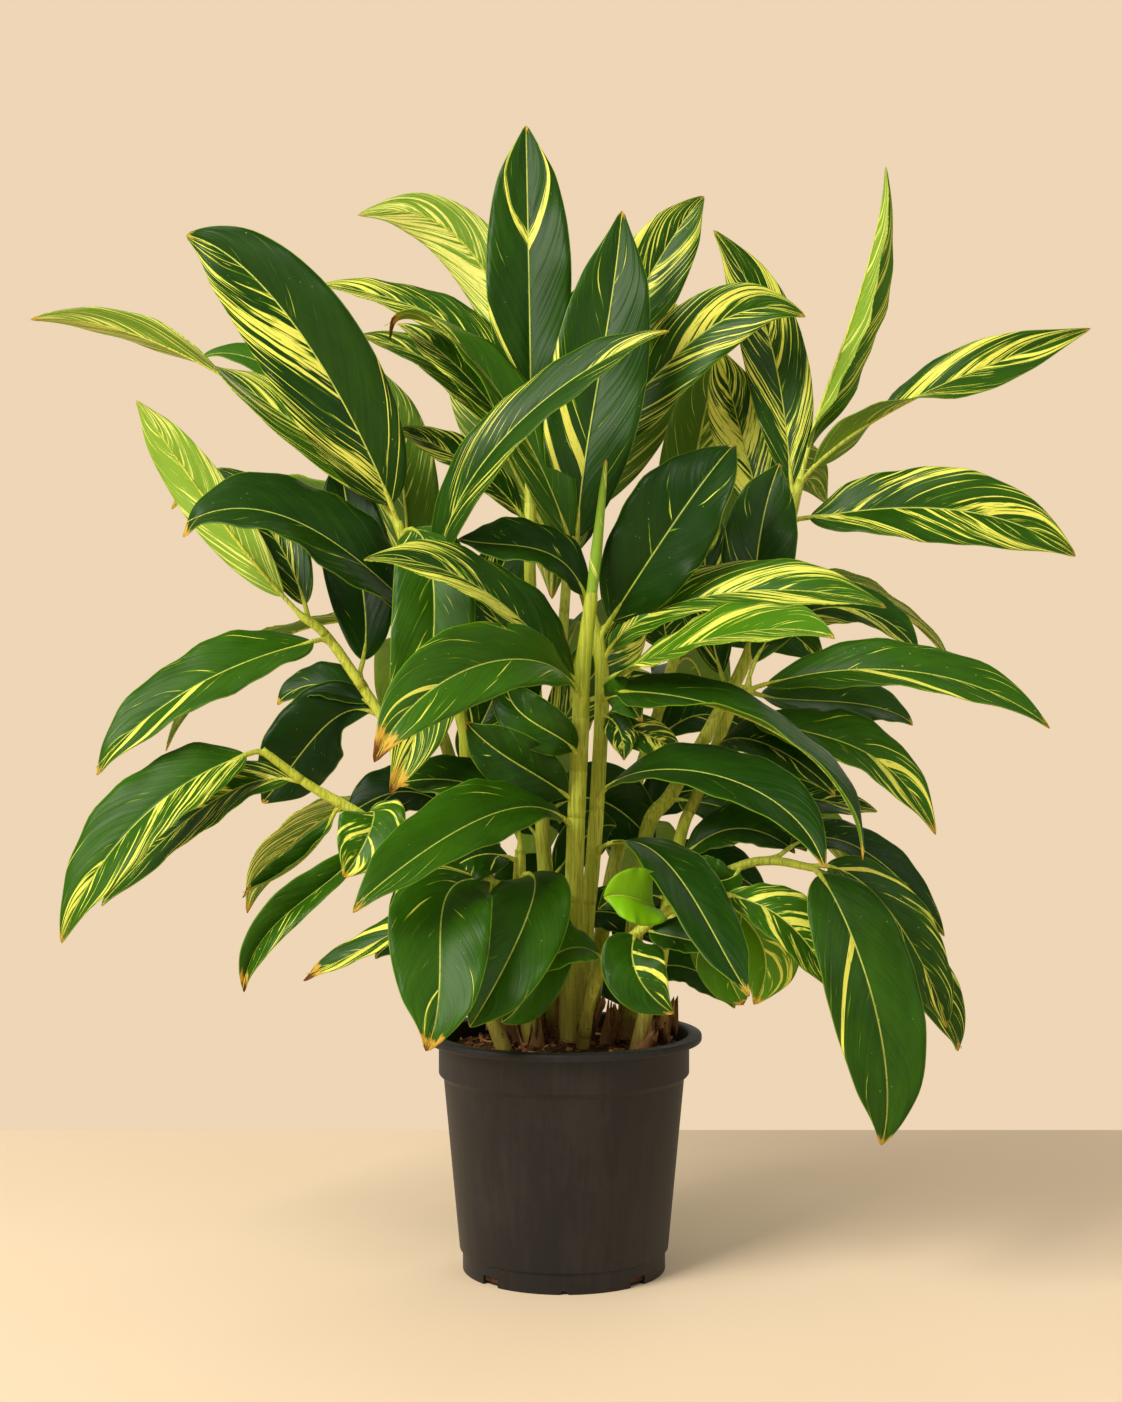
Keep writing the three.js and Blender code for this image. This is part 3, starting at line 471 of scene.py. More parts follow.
canes["stem_right"] = {
    "path": [
        (81, 222, 0), (104, 360, -6), (118, 435, -10), (134, 473, -12),
        (171, 566, -16), (184, 576, -18),
    ],
    "radius": [10.5, 7, 6, 5.6, 5, 4.4],
    "leaves": [
        ((182, 575), (226, 646, 0), (296, 656, 0), (355, 613, -10), 62, "fu", "fu", (1, 3, 2, 3, 0)),
        ((184, 576), (261, 594, -64), (371, 591, -94), (487, 539, -112), 68, "fu", "fu", (1, 2, 1, 5, 0)),
        ((183, 575), (236, 566, 12), (296, 562, 26), (350, 542, 32), 66, "fu", "fu", (0, 0, 0, 4, 1)),
        ((171, 566), (236, 536, -70), (306, 511, -90), (373, 432, -98), 68, "fu", "fu", (1, 2, 3, 5, 1)),
        ((150, 515), (176, 528, -50), (222, 512, -72), (272, 471, -84), 58, "fu", "fu", (1, 3, 1, 2, 1)),
        ((150, 515), (206, 480, 4), (256, 466, 14), (314, 456, 20), 54, "fu", "fu", (4, 4, 2, 3, 0)),
        ((112, 400), (150, 432, -22), (190, 436, -28), (232, 414, -34), 54, "fu", "fu", (0, 2, 0, 3, 0)),
        ((106, 366), (84, 372, -20), (60, 372, -26), (34, 356, -28), 40, "f", "f", (0, 0, 0, 3, 0)),
    ],
}
canes["stem_right_low"] = {
    "path": [
        (75, 222, -34), (98, 320, -36), (126, 372, -36), (176, 400, -50),
        (211, 405, -74), (248, 398, -104),
    ],
    "radius": [8.4, 6, 4.8, 4.2, 3.8, 3.2],
    "leaves": [
        ((248, 398), (281, 346, -140), (316, 236, -152), (318, 119, -150), 90, "fu", "f", (0, 1, 0, 4, 1)),
        ((246, 399), (301, 381, -106), (351, 316, -98), (384, 238, -88), 64, "fu", "fu", (3, 4, 1, 4, 0)),
        ((240, 400), (306, 361, -66), (361, 291, -46), (399, 214, -34), 62, "fu", "fu", (3, 3, 1, 4, 1)),
        ((211, 405), (266, 428, -44), (326, 396, -30), (382, 330, -20), 50, "fu", "fu", (2, 1, 0, 2, 0)),
        ((176, 400), (161, 386, -58), (132, 390, -56), (106, 418, -48), 46, "uf", "fr", (0, 0, 0, 5, 0), 0.5),
    ],
}
canes["stem_front_short"] = {
    "path": [(-32, 222, -10), (-38, 310, -12), (-44, 376, -12), (-44, 416, -12)],
    "radius": [11, 8.6, 6.8, 5],
    "leaves": [
        ((-44, 376), (-114, 376, -112), (-124, 306, -174), (-138, 215, -204), 98, "uf", "f", (0, 2, 0, 5, 4)),
        ((-44, 390), (-30, 372, -76), (-56, 306, -130), (-94, 239, -160), 84, "uf", "f", (0, 0, 0, 5, 0)),
        ((-42, 360), (-16, 336, -38), (-32, 281, -58), (-62, 244, -72), 60, "uf", "f", (0, 0, 0, 6, 0)),
        ((-42, 350), (-124, 351, -74), (-194, 321, -84), (-261, 291, -90), 42, "u", "uf", (5, 3, 2, 4, 7)),
        ((-44, 416), (-64, 466, -24), (-114, 486, -30), (-172, 481, -36), 60, "fu", "fu", (0, 0, 0, 3, 6)),
        ((-44, 404), (-78, 412, -44), (-108, 400, -60), (-138, 372, -70), 58, "uf", "f", (1, 0, 0, 3, 1)),
    ],
}
canes["stem_back_right"] = {
    "path": [(22, 222, 70), (50, 400, 120), (96, 560, 168), (132, 680, 204)],
    "radius": [9, 7.4, 6, 4.6],
    "leaves": [
        ((132, 680), (180, 764, 262), (224, 794, 326), (262, 764, 392), 88, "ub", "ub", (5, 4, 2, 3, 0)),
        ((128, 668), (214, 690, 226), (306, 672, 250), (392, 596, 268), 80, "u", "ur", (3, 5, 2, 4, 1)),
        ((120, 640), (124, 744, 190), (138, 840, 206), (158, 916, 232), 80, "b", "b", (6, 2, 3, 2, 0)),
        ((96, 560), (114, 606, 250), (134, 596, 330), (146, 524, 386), 90, "ub", "b", (1, 1, 1, 4, 2)),
        ((76, 496), (146, 500, 196), (228, 464, 250), (296, 384, 286), 80, "ur", "br", (4, 3, 2, 5, 0)),
        ((50, 400), (72, 424, 186), (92, 386, 256), (102, 304, 304), 84, "ub", "b", (0, 1, 0, 5, 2)),
        ((36, 320), (80, 344, 126), (124, 344, 134), (170, 316, 138), 70, "fu", "fu", (0, 0, 0, 1, 0)),
        ((60, 440), (104, 470, 148), (150, 474, 156), (200, 448, 160), 76, "fu", "fu", (1, 0, 0, 1, 0)),
        ((56, 420), (24, 450, 112), (-4, 462, 116), (-40, 452, 118), 64, "f", "f", (0, 1, 0, 2, 0)),
        ((84, 520), (124, 548, 178), (160, 548, 186), (206, 520, 190), 70, "fu", "fu", (3, 3, 1, 2, 0)),
        ((108, 604), (100, 646, 176), (104, 690, 166), (120, 748, 156), 84, "f", "f", (2, 4, 2, 3, 0)),
        ((112, 616), (160, 644, 190), (210, 642, 196), (262, 600, 198), 70, "f", "f", (3, 2, 1, 3, 0)),
    ],
}
canes["stem_back_left"] = {
    "path": [(-58, 222, 70), (-84, 400, 114), (-124, 540, 156), (-160, 650, 186)],
    "radius": [9, 7.4, 6, 4.6],
    "leaves": [
        ((-160, 650), (-214, 736, 234), (-262, 762, 300), (-300, 730, 366), 86, "ub", "ub", (2, 5, 3, 3, 0)),
        ((-156, 636), (-240, 644, 212), (-328, 602, 232), (-400, 516, 250), 80, "u", "ul", (5, 2, 2, 4, 1)),
        ((-150, 620), (-156, 724, 176), (-166, 820, 192), (-186, 896, 222), 78, "b", "b", (3, 5, 3, 2, 0)),
        ((-124, 540), (-144, 596, 230), (-158, 588, 310), (-164, 516, 372), 90, "ub", "b", (0, 1, 0, 5, 1)),
        ((-104, 470), (-176, 474, 180), (-258, 436, 234), (-318, 354, 272), 80, "ul", "bl", (6, 3, 3, 3, 2)),
        ((-84, 400), (-96, 424, 178), (-108, 382, 250), (-116, 298, 300), 84, "ub", "b", (1, 0, 0, 4, 3)),
        ((-70, 310), (-108, 336, 104), (-148, 336, 110), (-190, 308, 112), 70, "fu", "fu", (0, 0, 0, 1, 0)),
        ((-76, 350), (-52, 380, 104), (-20, 386, 106), (16, 366, 106), 58, "f", "f", (0, 0, 0, 2, 0)),
        ((-96, 440), (-136, 470, 132), (-176, 472, 138), (-222, 446, 140), 74, "fu", "fu", (1, 0, 0, 1, 0)),
        ((-110, 490), (-84, 528, 128), (-52, 540, 124), (-14, 530, 122), 66, "f", "f", (2, 3, 0, 2, 0)),
        ((-124, 540), (-104, 604, 148), (-76, 668, 138), (-44, 742, 130), 80, "f", "f", (3, 2, 1, 2, 0)),
    ],
}
canes["stem_back"] = {
    "path": [(-30, 222, 92), (-22, 420, 140), (-4, 600, 186), (6, 740, 216)],
    "radius": [9, 7.4, 6, 4.6],
    "leaves": [
        ((6, 740), (18, 850, 256), (26, 926, 316), (28, 936, 390), 90, "b", "ub", (4, 6, 3, 2, 0)),
        ((4, 726), (62, 820, 236), (98, 900, 268), (112, 960, 316), 74, "b", "b", (5, 3, 4, 3, 0)),
        ((2, 700), (-52, 800, 222), (-86, 880, 248), (-104, 930, 300), 76, "b", "b", (2, 5, 3, 3, 0)),
        ((0, 660), (-4, 740, 286), (-8, 740, 370), (-12, 668, 440), 92, "ub", "b", (7, 2, 3, 3, 1)),
        ((-4, 590), (12, 646, 270), (20, 620, 356), (24, 534, 416), 84, "ub", "b", (1, 1, 2, 5, 1)),
        ((-14, 500), (-18, 520, 230), (-26, 474, 316), (-28, 388, 372), 88, "ub", "b", (3, 1, 0, 5, 2)),
        ((-28, 290), (4, 300, 118), (36, 290, 124), (64, 256, 124), 54, "fu", "fu", (0, 0, 0, 2, 0)),
        ((-10, 540), (26, 572, 150), (62, 580, 146), (104, 566, 142), 66, "fu", "fu", (4, 3, 1, 3, 0)),
    ],
}

# Broad yellow bands: where they leave the midrib, two on the left half and two on the right, and how
# wide they are, in hundredths of the blade's length. A start at -100 means no band.

bands = {
    "stem_tall_back": {0: (60, 2, 60, -100, 6), 7: (40, 10, 20, 60, 12), 8: (30, 60, 10, 50, 12)},
    "stem_middle": {9: (24, 2, -100, -100, 7), 6: (10, 50, 20, 55, 12), 5: (6, 40, 2, 46, 12)},
    "stem_left_tall": {0: (8, 50, 2, -100, 15), 3: (20, 80, 0, 14, 14)},
    "stem_front": {3: (10, 48, 66, -100, 16), 4: (-100, -100, 72, -100, 3)},
    "stem_left_low": {4: (4, 34, 86, -100, 20), 3: (6, 30, 10, 40, 14)},
    "stem_left": {2: (56, 78, -100, -100, 6)},
    "stem_right_tall": {
        0: (20, 60, 10, 50, 13), 1: (10, 40, 10, 40, 12), 5: (20, 62, 8, 56, 12), 4: (40, 70, 40, 70, 12),
    },
    "stem_right_low": {0: (-100, -100, 34, -100, 4), 1: (10, -100, 30, -100, 5), 2: (40, -100, 12, -100, 5)},
    "stem_right": {1: (-100, -100, 40, -100, 6), 3: (70, -100, 66, -100, 7), 0: (-100, -100, 20, 60, 14)},
    "shoot_right_low": {1: (30, 50, -100, -100, 5), 4: (16, 50, 30, -100, 6)},
    "stem_front_short": {0: (-100, -100, 2, -100, 6), 3: (30, 60, 40, -100, 9)},
}

hooks = {  # how far a tip curls down, in mm
    "stem_left_tall": {0: 5, 4: 14}, "stem_left_low": {1: 7, 2: 12}, "stem_left": {2: 8},
    "stem_middle": {8: 14}, "stem_right_low": {0: 6, 2: 8}, "stem_front_short": {0: 6, 3: 8},
    "shoot_right_low": {6: 8}, "stem_front": {0: 6},
}

usualBands = (-100, -100, -100, -100, 5)
usualHook = 2.0

# The young leaf still rolled up at the top of the front cane
rolled = {
    "stem": "stem_front",
    "from": 0.79,
    "radius": 5.4,
    "turns": 1.3,
    "twist": 0.6,
    "seam": 2.2,
    "overlap": 0.12,
    "along": (0, 0.1, 0.35, 0.8, 0.97, 1),
    "swell": (0.95, 0.92, 1.0, 0.58, 0.28, 0.12),
    "finish": {
        "stripes": (0.1, 0.3, 0.2), "tone": (1.0, 0.31, 0.15), "extent": (0.2, 0.03, 0.05),
        "leftBands": (-1, -1, 0), "rightBands": (0.2, -1, 0),
    },
}

leafForm = {
    "petiole": 0.1,
    "petioleRadius": 2.5,
    "ribRadius": 1.9,
    "rise": 0.68,
    "fall": 0.74,
    "pinch": 0.34,
    "fold": 0.24,
    "wave": 0.08,
    "waves": 2.6,
    "fineWave": 0.034,
    "fineWaves": 7.3,
    "startLength": 0.22,
    "thickness": 0.0009,
    "groove": 0.0007,
    "stations": 44,
    "crowding": 0.07,
    "columns": 16,
    "columnPower": 1.25,
}


# Masters that every leaf, cane and husk is copied from

def cornersOf(mesh):
    flat = np.empty(len(mesh.vertices) * 3)
    mesh.vertices.foreach_get("co", flat)
    return flat.reshape(-1, 3)


def selectOnly(*pieces):
    bpy.ops.object.select_all(action="DESELECT")
    for piece in pieces:
        piece.select_set(True)
    bpy.context.view_layer.objects.active = pieces[0]


def edit(piece):
    selectOnly(piece)
    bpy.ops.object.mode_set(mode="EDIT")
    bpy.ops.mesh.select_mode(type="VERT")


def tube(sides, steps, ends):  # of radius 1, with each ring 1 above the last
    bpy.ops.mesh.primitive_circle_add(vertices=sides, radius=1, fill_type=ends)
    master = bpy.context.object
    edit(master)
    bpy.ops.mesh.select_all(action="SELECT")
    for step in range(steps):
        bpy.ops.mesh.extrude_region_move(TRANSFORM_OT_translate={"value": (0, 0, 1)})
    bpy.ops.mesh.select_all(action="SELECT")
    bpy.ops.mesh.normals_make_consistent(inside=False)
    bpy.ops.object.mode_set(mode="OBJECT")
    bpy.ops.object.shade_smooth()
    return master


def bladeMaster():
    bpy.ops.mesh.primitive_grid_add(
        x_subdivisions=leafForm["stations"], y_subdivisions=leafForm["columns"], size=2,
    )
    master = bpy.context.object
    bpy.ops.object.shade_smooth()
    mesh = master.data
    flat = cornersOf(mesh)
    even = (flat[:, 0] + 1) / 2
    u = even - leafForm["crowding"] * np.sin(2 * np.pi * even)  # closer together at both ends
    s = -np.sign(flat[:, 1]) * np.abs(flat[:, 1]) ** leafForm["columnPower"]  # the faces then look up
    layer = mesh.uv_layers.active
    layer.name = "veins"
    corners = np.empty(len(mesh.loops), dtype=int)
    mesh.loops.foreach_get("vertex_index", corners)
    layer.data.foreach_set("uv", np.stack([u[corners], (s[corners] + 1) / 2], axis=-1).ravel())
    mesh.materials.append(leafTop)
    mesh.materials.append(leafUnder)
    return master, u, s


def rodMaster(sides, steps):
    master = tube(sides, steps, "NGON")
    mesh = master.data
    flat = cornersOf(mesh)
    ring = np.rint(flat[:, 2]).astype(int)
    turn = np.arctan2(flat[:, 1], flat[:, 0])
    mesh.uv_layers.new(name="veins")
    mesh.materials.append(caneSkin)
    return master, ring, turn


blade, bladeU, bladeS = bladeMaster()
thinRod, thinRing, thinTurn = rodMaster(10, 33)
wideRod, wideRing, wideTurn = rodMaster(18, 60)
masters = [blade, thinRod, wideRod]


def copyOf(master, name, points, **attributes):
    mesh = master.data.copy()
    mesh.vertices.foreach_set("co", np.ascontiguousarray(points, dtype=np.float32).ravel())
    for key, value in attributes.items():
        layer = mesh.attributes.new(key, "FLOAT_VECTOR", "POINT")
        spread = np.broadcast_to(np.asarray(value, dtype=np.float32), (len(points), 3))
        layer.data.foreach_set("vector", np.ascontiguousarray(spread).ravel())
    piece = bpy.data.objects.new(name, mesh)
    bpy.context.collection.objects.link(piece)
    return piece


def unit(vectors):
    return vectors / np.linalg.norm(vectors, axis=-1, keepdims=True)


def rodPoints(points, radii, ring, turn):
    along = unit(np.gradient(points, axis=0))
    start = np.cross(along[0], (0.0, 1.0, 0.0))
    side = [start / np.linalg.norm(start)]
    for way in along[1:]:
        carried = side[-1] - way * np.dot(side[-1], way)
        side.append(carried / np.linalg.norm(carried))
    side = np.array(side)
    out = np.cross(along, side)
    circle = np.cos(turn)[:, None] * side[ring] + np.sin(turn)[:, None] * out[ring]
    return points[ring] + circle * radii[ring][:, None]


# Canes

def axisAt(path, t):
    path = np.asarray(path, float)
    path = np.vstack([2 * path[0] - path[1], path, 2 * path[-1] - path[-2]])
    spans = len(path) - 3
    step = np.clip(np.asarray(t, float) * spans, 0, spans)
    at = np.minimum(step.astype(int), spans - 1)
    w = (step - at)[..., None]
    before, here, there, after = path[at], path[at + 1], path[at + 2], path[at + 3]
    leave, meet = 0.5 * (there - before), 0.5 * (after - here)
    square = -3 * here + 3 * there - 2 * leave - meet
    cube = 2 * here - 2 * there + leave + meet
    return here + leave * w + square * w ** 2 + cube * w ** 3


def radiusAt(radii, t):
    return np.interp(t, np.linspace(0, 1, len(radii)), radii)


def footOf(row, foot):
    t = np.linspace(0, 1, 241)
    seen = axisAt(row["path"], t)
    distance = np.hypot(seen[:, 0] - foot[0], seen[:, 1] - foot[1])
    return t[distance.argmin()]


caneForm = {
    "footInSoil": 0.02,
    "jointDepth": 0.06,
    "jointWidth": 0.005,
    "scars": 5,
    "scarDepth": 0.035,
    "scarWidth": 0.003,
    "firstScar": 0.018,
    "scarStep": 0.021,
}


def bump(t, at, length, width):  # 1 at that place, 0 a little way off
    return np.exp(-(((t - at) * length / width) ** 2))


def makeCane(name, row, feet, number):
    count = wideRing.max() + 1
    t = np.linspace(0, 1, count - 1)
    points = placed(axisAt(row["path"], t))
    radii = radiusAt(row["radius"], t) / 1000
    length = np.linalg.norm(points[-1] - points[0])
    if name.startswith(rolled["stem"] + "_cane"):
        radii = radii * (1 - 0.6 * smooth(t, rolled["from"], rolled["from"] + 0.05))
    for foot in feet:  # a joint under each leaf
        radii = radii * (1 + caneForm["jointDepth"] * bump(t, foot, length, caneForm["jointWidth"]))
    for i in range(caneForm["scars"]):  # of old sheaths
        at = caneForm["firstScar"] + caneForm["scarStep"] * i + 0.004 * math.sin(number * 3 + i)
        radii = radii * (1 - caneForm["scarDepth"] * bump(t, at / length, length, caneForm["scarWidth"]))
    down = unit(points[0] - points[1]) * caneForm["footInSoil"]
    points = np.vstack([points[0] + down, points])
    radii = np.concatenate([radii[:1], radii])
    shape = rodPoints(points, radii, wideRing, wideTurn)
    shade = 0.35 + 0.2 * math.sin(number * 2.3)
    return copyOf(wideRod, name, shape, tone=(shade, number, 0.4 + 0.06 * number))


# Leaves

ways = {"f": (0, -1, 0), "b": (0, 1, 0), "l": (-1, 0, 0), "r": (1, 0, 0), "u": (0, 0, 1), "d": (0, 0, -1)}


def wayOf(letters):
    return unit(np.sum([ways[letter] for letter in letters], axis=0, dtype=float))


def smooth(value, low, high):
    value = np.clip((value - low) / (high - low), 0, 1)
    return value * value * (3 - 2 * value)


def outline(along):
    peak = leafForm["rise"] / (leafForm["rise"] + leafForm["fall"])
    top = peak ** leafForm["rise"] * (1 - peak) ** leafForm["fall"]
    along = np.clip(along, 0, 1)
    pinch = 1 - leafForm["pinch"] * smooth(along, 0.8, 1) * (1 - smooth(along, 0.97, 1.02))
    return along ** leafForm["rise"] * (1 - along) ** leafForm["fall"] / top * pinch


class Midrib:
    # the line that a leaf grows along, in metres

    def __init__(self, row, leaf, foot):
        seen = axisAt(row["path"], foot)
        a, b, c, d = placed([seen, *leaf[1:4]])
        self.ends = a, (-5 * a + 18 * b - 9 * c + 2 * d) / 6, (2 * a - 9 * b + 18 * c - 5 * d) / 6, d
        self.wayFoot, self.wayTip = wayOf(leaf[5]), wayOf(leaf[6])
        fine = self.at(np.linspace(0, 1, 60))
        self.length = np.linalg.norm(np.diff(fine, axis=0), axis=1).sum()

    def at(self, t):
        t = np.asarray(t, float)[..., None]
        a, b, c, d = self.ends
        return a * (1 - t) ** 3 + 3 * b * t * (1 - t) ** 2 + 3 * c * t ** 2 * (1 - t) + d * t ** 3

    def along(self, t):
        t = np.asarray(t, float)[..., None]
        a, b, c, d = self.ends
        return unit((b - a) * (1 - t) ** 2 + 2 * (c - b) * t * (1 - t) + (d - c) * t ** 2)

    def up(self, t):
        along = self.along(t)
        way = self.wayFoot + (self.wayTip - self.wayFoot) * np.asarray(t, float)[..., None]
        return unit(way - along * np.sum(way * along, axis=-1, keepdims=True))


def makeBlade(name, midrib, leaf, band, hook, number):
    width, look = leaf[4], leaf[7]
    fold = leaf[8] if len(leaf) > 8 else leafForm["fold"]
    t = leafForm["petiole"] + (1 - leafForm["petiole"]) * bladeU
    along, up = midrib.along(t), midrib.up(t)
    side = np.cross(along, up)
    opened = smooth(bladeU, 0, leafForm["startLength"])
    half = np.maximum(width / 2 * outline(bladeU), 0.4) / 1000
    size = np.abs(bladeS)
    phase = number * 2.4 + np.where(bladeS < 0, 1.9, 0)
    ripple = leafForm["wave"] * np.sin(2 * np.pi * leafForm["waves"] * t + phase)
    fine = leafForm["fineWave"] * np.sin(2 * np.pi * leafForm["fineWaves"] * t + phase * 1.7)
    lift = math.sin(fold) * (1.5 * size - 0.5 * size ** 2) + ripple * size ** 2 + fine * size ** 4
    groove = leafForm["groove"] * np.exp(-((size * half / 0.0025) ** 2))
    lean = 1 + (math.cos(fold) - 1) * opened
    points = midrib.at(t)
    points = points + side * (half * bladeS * lean)[:, None]
    points = points + up * (half * opened * lift - groove)[:, None]
    points = points - up * (hook / 1000 * smooth(bladeU, 0.88, 1) ** 2)[:, None]
    left, right, tip, shade, brown = [value / 10 for value in look]
    leftLow, leftHigh, rightLow, rightHigh, wide = [value / 100 for value in band]
    extent = np.stack([np.full_like(half, midrib.length), half, np.full_like(half, wide)], axis=-1)
    seed = (number * 0.618) % 1
    return copyOf(
        blade, name, points, stripes=(left, right, tip), tone=(shade, seed, brown), extent=extent,
        leftBands=(leftLow, leftHigh, 0), rightBands=(rightLow, rightHigh, 0),
    )


def makeRolled(name, row):
    t = rolled["from"] + (1 - rolled["from"]) * bladeU
    centre = placed(axisAt(row["path"], t))
    before = placed(axisAt(row["path"], t - 0.01))
    after = placed(axisAt(row["path"], np.minimum(t + 0.01, 1.001)))
    along = unit(after - before)
    side = unit(np.cross(along, (0.0, 1.0, 0.0)))
    out = np.cross(along, side)
    radius = rolled["radius"] / 1000 * np.interp(bladeU, rolled["along"], rolled["swell"])
    radius = radius * (1 + rolled["overlap"] * bladeS)
    turn = rolled["seam"] - bladeS * math.pi * rolled["turns"] + bladeU * rolled["twist"]
    points = centre + (side * np.cos(turn)[:, None] + out * np.sin(turn)[:, None]) * radius[:, None]
    return copyOf(blade, name, points, **rolled["finish"])


stalkForm = {
    "sheath": 64,  # mm of cane that a stalk's foot wraps, under the place where it parts from it
    "parting": 16,
    "sheathRings": 7,
    "bendRings": 6,
    "end": 0.985,
    "sheathThickness": 0.5,
}


def caneLength(row):
    return np.linalg.norm(placed(row["path"][-1]) - placed(row["path"][0]))


def makeStalk(name, row, midrib, leaf, foot, number):
    length = caneLength(row) * 1000
    low = max(foot - stalkForm["sheath"] / length, 0.02)
    near = max(foot - stalkForm["parting"] / length, 0.03)
    wrap = placed(axisAt(row["path"], np.linspace(low, near, stalkForm["sheathRings"])))
    leave = unit(wrap[-1] - wrap[-2])
    turnIn = 0.5 * leafForm["petiole"]
    meet = midrib.at(turnIn)
    reach = np.linalg.norm(meet - wrap[-1])
    w = np.linspace(0, 1, stalkForm["bendRings"] + 2)[1:-1, None]
    bend = (
        wrap[-1] * (2 * w ** 3 - 3 * w ** 2 + 1)
        + leave * reach * (w ** 3 - 2 * w ** 2 + w)
        + meet * (3 * w ** 2 - 2 * w ** 3)
        + midrib.along(turnIn) * reach * (w ** 3 - w ** 2)
    )
    count = thinRing.max() + 1 - len(wrap) - len(bend)
    even = np.linspace(0, 1, count)
    t = turnIn + (stalkForm["end"] - turnIn) * even
    bladeT = np.clip((t - leafForm["petiole"]) / (1 - leafForm["petiole"]), 0, 1)
    grown = 0.75 + leaf[4] / 300
    ribRadius = leafForm["ribRadius"] * grown * (1 - bladeT) ** 0.8 + 0.25
    stalkRadius = leafForm["petioleRadius"] * grown
    radius = np.where(bladeT > 0, ribRadius, stalkRadius)
    radius = radius + (stalkRadius - ribRadius) * (1 - smooth(bladeT, 0, 0.12)) * (bladeT > 0)
    under = smooth(bladeT, 0, 0.1) * np.maximum(radius - 0.15, 0) / 1000
    rib = midrib.at(t) - midrib.up(t) * under[:, None]
    points = np.vstack([wrap, bend, rib])
    caneRadius = radiusAt(row["radius"], np.linspace(low, near, len(wrap)))
    sheath = caneRadius * np.linspace(0.99, 1.0, len(wrap)) + stalkForm["sheathThickness"]
    taper = sheath[-1] + (radius[0] - sheath[-1]) * smooth(w[:, 0], 0, 1)
    radii = np.concatenate([sheath, taper, radius]) / 1000
    shape = rodPoints(points, radii, thinRing, thinTurn)
    shade = 0.62 + 0.2 * math.sin(number * 1.7)
    return copyOf(thinRod, name, shape, tone=(shade, number, 0.3))


def joinAll(pieces, name):
    selectOnly(*pieces)
    bpy.ops.object.join()
    pieces[0].name = name
    pieces[0].data.name = name
    return pieces[0]


def applyModifier(piece, kind, **settings):
    selectOnly(piece)
    modifier = piece.modifiers.new(kind.lower(), kind)
    for key, value in settings.items():
        setattr(modifier, key, value)
    bpy.ops.object.modifier_apply(modifier=modifier.name)


def makeStem(name, row, index):
    blades, stalks, feet = [], [], []
    for i, leaf in enumerate(row["leaves"]):
        number = index * 7 + i
        foot = footOf(row, leaf[0])
        midrib = Midrib(row, leaf, foot)
        band = bands.get(name, {}).get(i, usualBands)
        hook = hooks.get(name, {}).get(i, usualHook)
        blades.append(makeBlade(f"{name}_blade_{i}", midrib, leaf, band, hook, number))
        stalks.append(makeStalk(f"{name}_stalk_{i}", row, midrib, leaf, foot, number))
        feet.append(foot)
    if name == rolled["stem"]:
        blades.append(makeRolled(name + "_rolled", row))
    stem = joinAll(blades, name + "_grown")
    applyModifier(stem, "SOLIDIFY", thickness=leafForm["thickness"], offset=0, material_offset=1)
    stem = joinAll([stem, makeCane(name + "_cane", row, feet, index), *stalks], name + "_grown")
    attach(stem, "root")
    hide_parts(name)
    return stem


for index, (name, row) in enumerate(canes.items()):
    makeStem(name, row, index)
    print(name, "grown")

for master in masters:
    bpy.data.objects.remove(master)


def turned(sides, profile, name):
    # a round closed body, from the edge of its underside up, out and in again
    radius, height = profile[0]
    bpy.ops.mesh.primitive_circle_add(
        vertices=sides, radius=radius, fill_type="NGON", location=(0, 0, height),
    )
    piece = bpy.context.object
    piece.name = name
    bpy.ops.object.transform_apply(location=True)
    edit(piece)
    bpy.ops.mesh.select_all(action="SELECT")
    for (before, low), (after, high) in zip(profile, profile[1:]):
        bpy.ops.mesh.extrude_region_move(TRANSFORM_OT_translate={"value": (0, 0, high - low)})
        bpy.ops.transform.resize(value=(after / before, after / before, 1))
    bpy.ops.mesh.select_all(action="SELECT")
    bpy.ops.mesh.normals_make_consistent(inside=False)
    bpy.ops.object.mode_set(mode="OBJECT")
    return piece


def smoothEdges(piece, angle):
    selectOnly(piece)
    bpy.ops.object.shade_smooth_by_angle(angle=math.radians(angle))


# Pot

pot = {
    "sides": 160,
    "profile": [
        (0.101, 0), (0.101, 0.019), (0.104, 0.021), (0.12, 0.19), (0.125, 0.195), (0.125, 0.227),
        (0.1365, 0.227), (0.1375, 0.2285), (0.1375, 0.2325), (0.1368, 0.2343), (0.135, 0.235),
        (0.1262, 0.235), (0.1243, 0.2341), (0.1235, 0.2322), (0.1226, 0.1974), (0.1176, 0.19),
        (0.0986, 0.019), (0.0986, 0.003),
    ],
    "bevel": 0.0007,
    "drain": {"count": 4, "turn": 45, "width": 0.02, "height": 0.009, "reach": 0.012},
    "notch": {"count": 4, "turn": 0, "radius": 0.004, "reach": 0.008},
    "charcoal": paint(27, 26, 27),
    "dust": paint(60, 57, 54),
    "rough": 0.4,
    "relief": 0.0003,
    "corner": 24,
    "smoothUnder": 32,
}


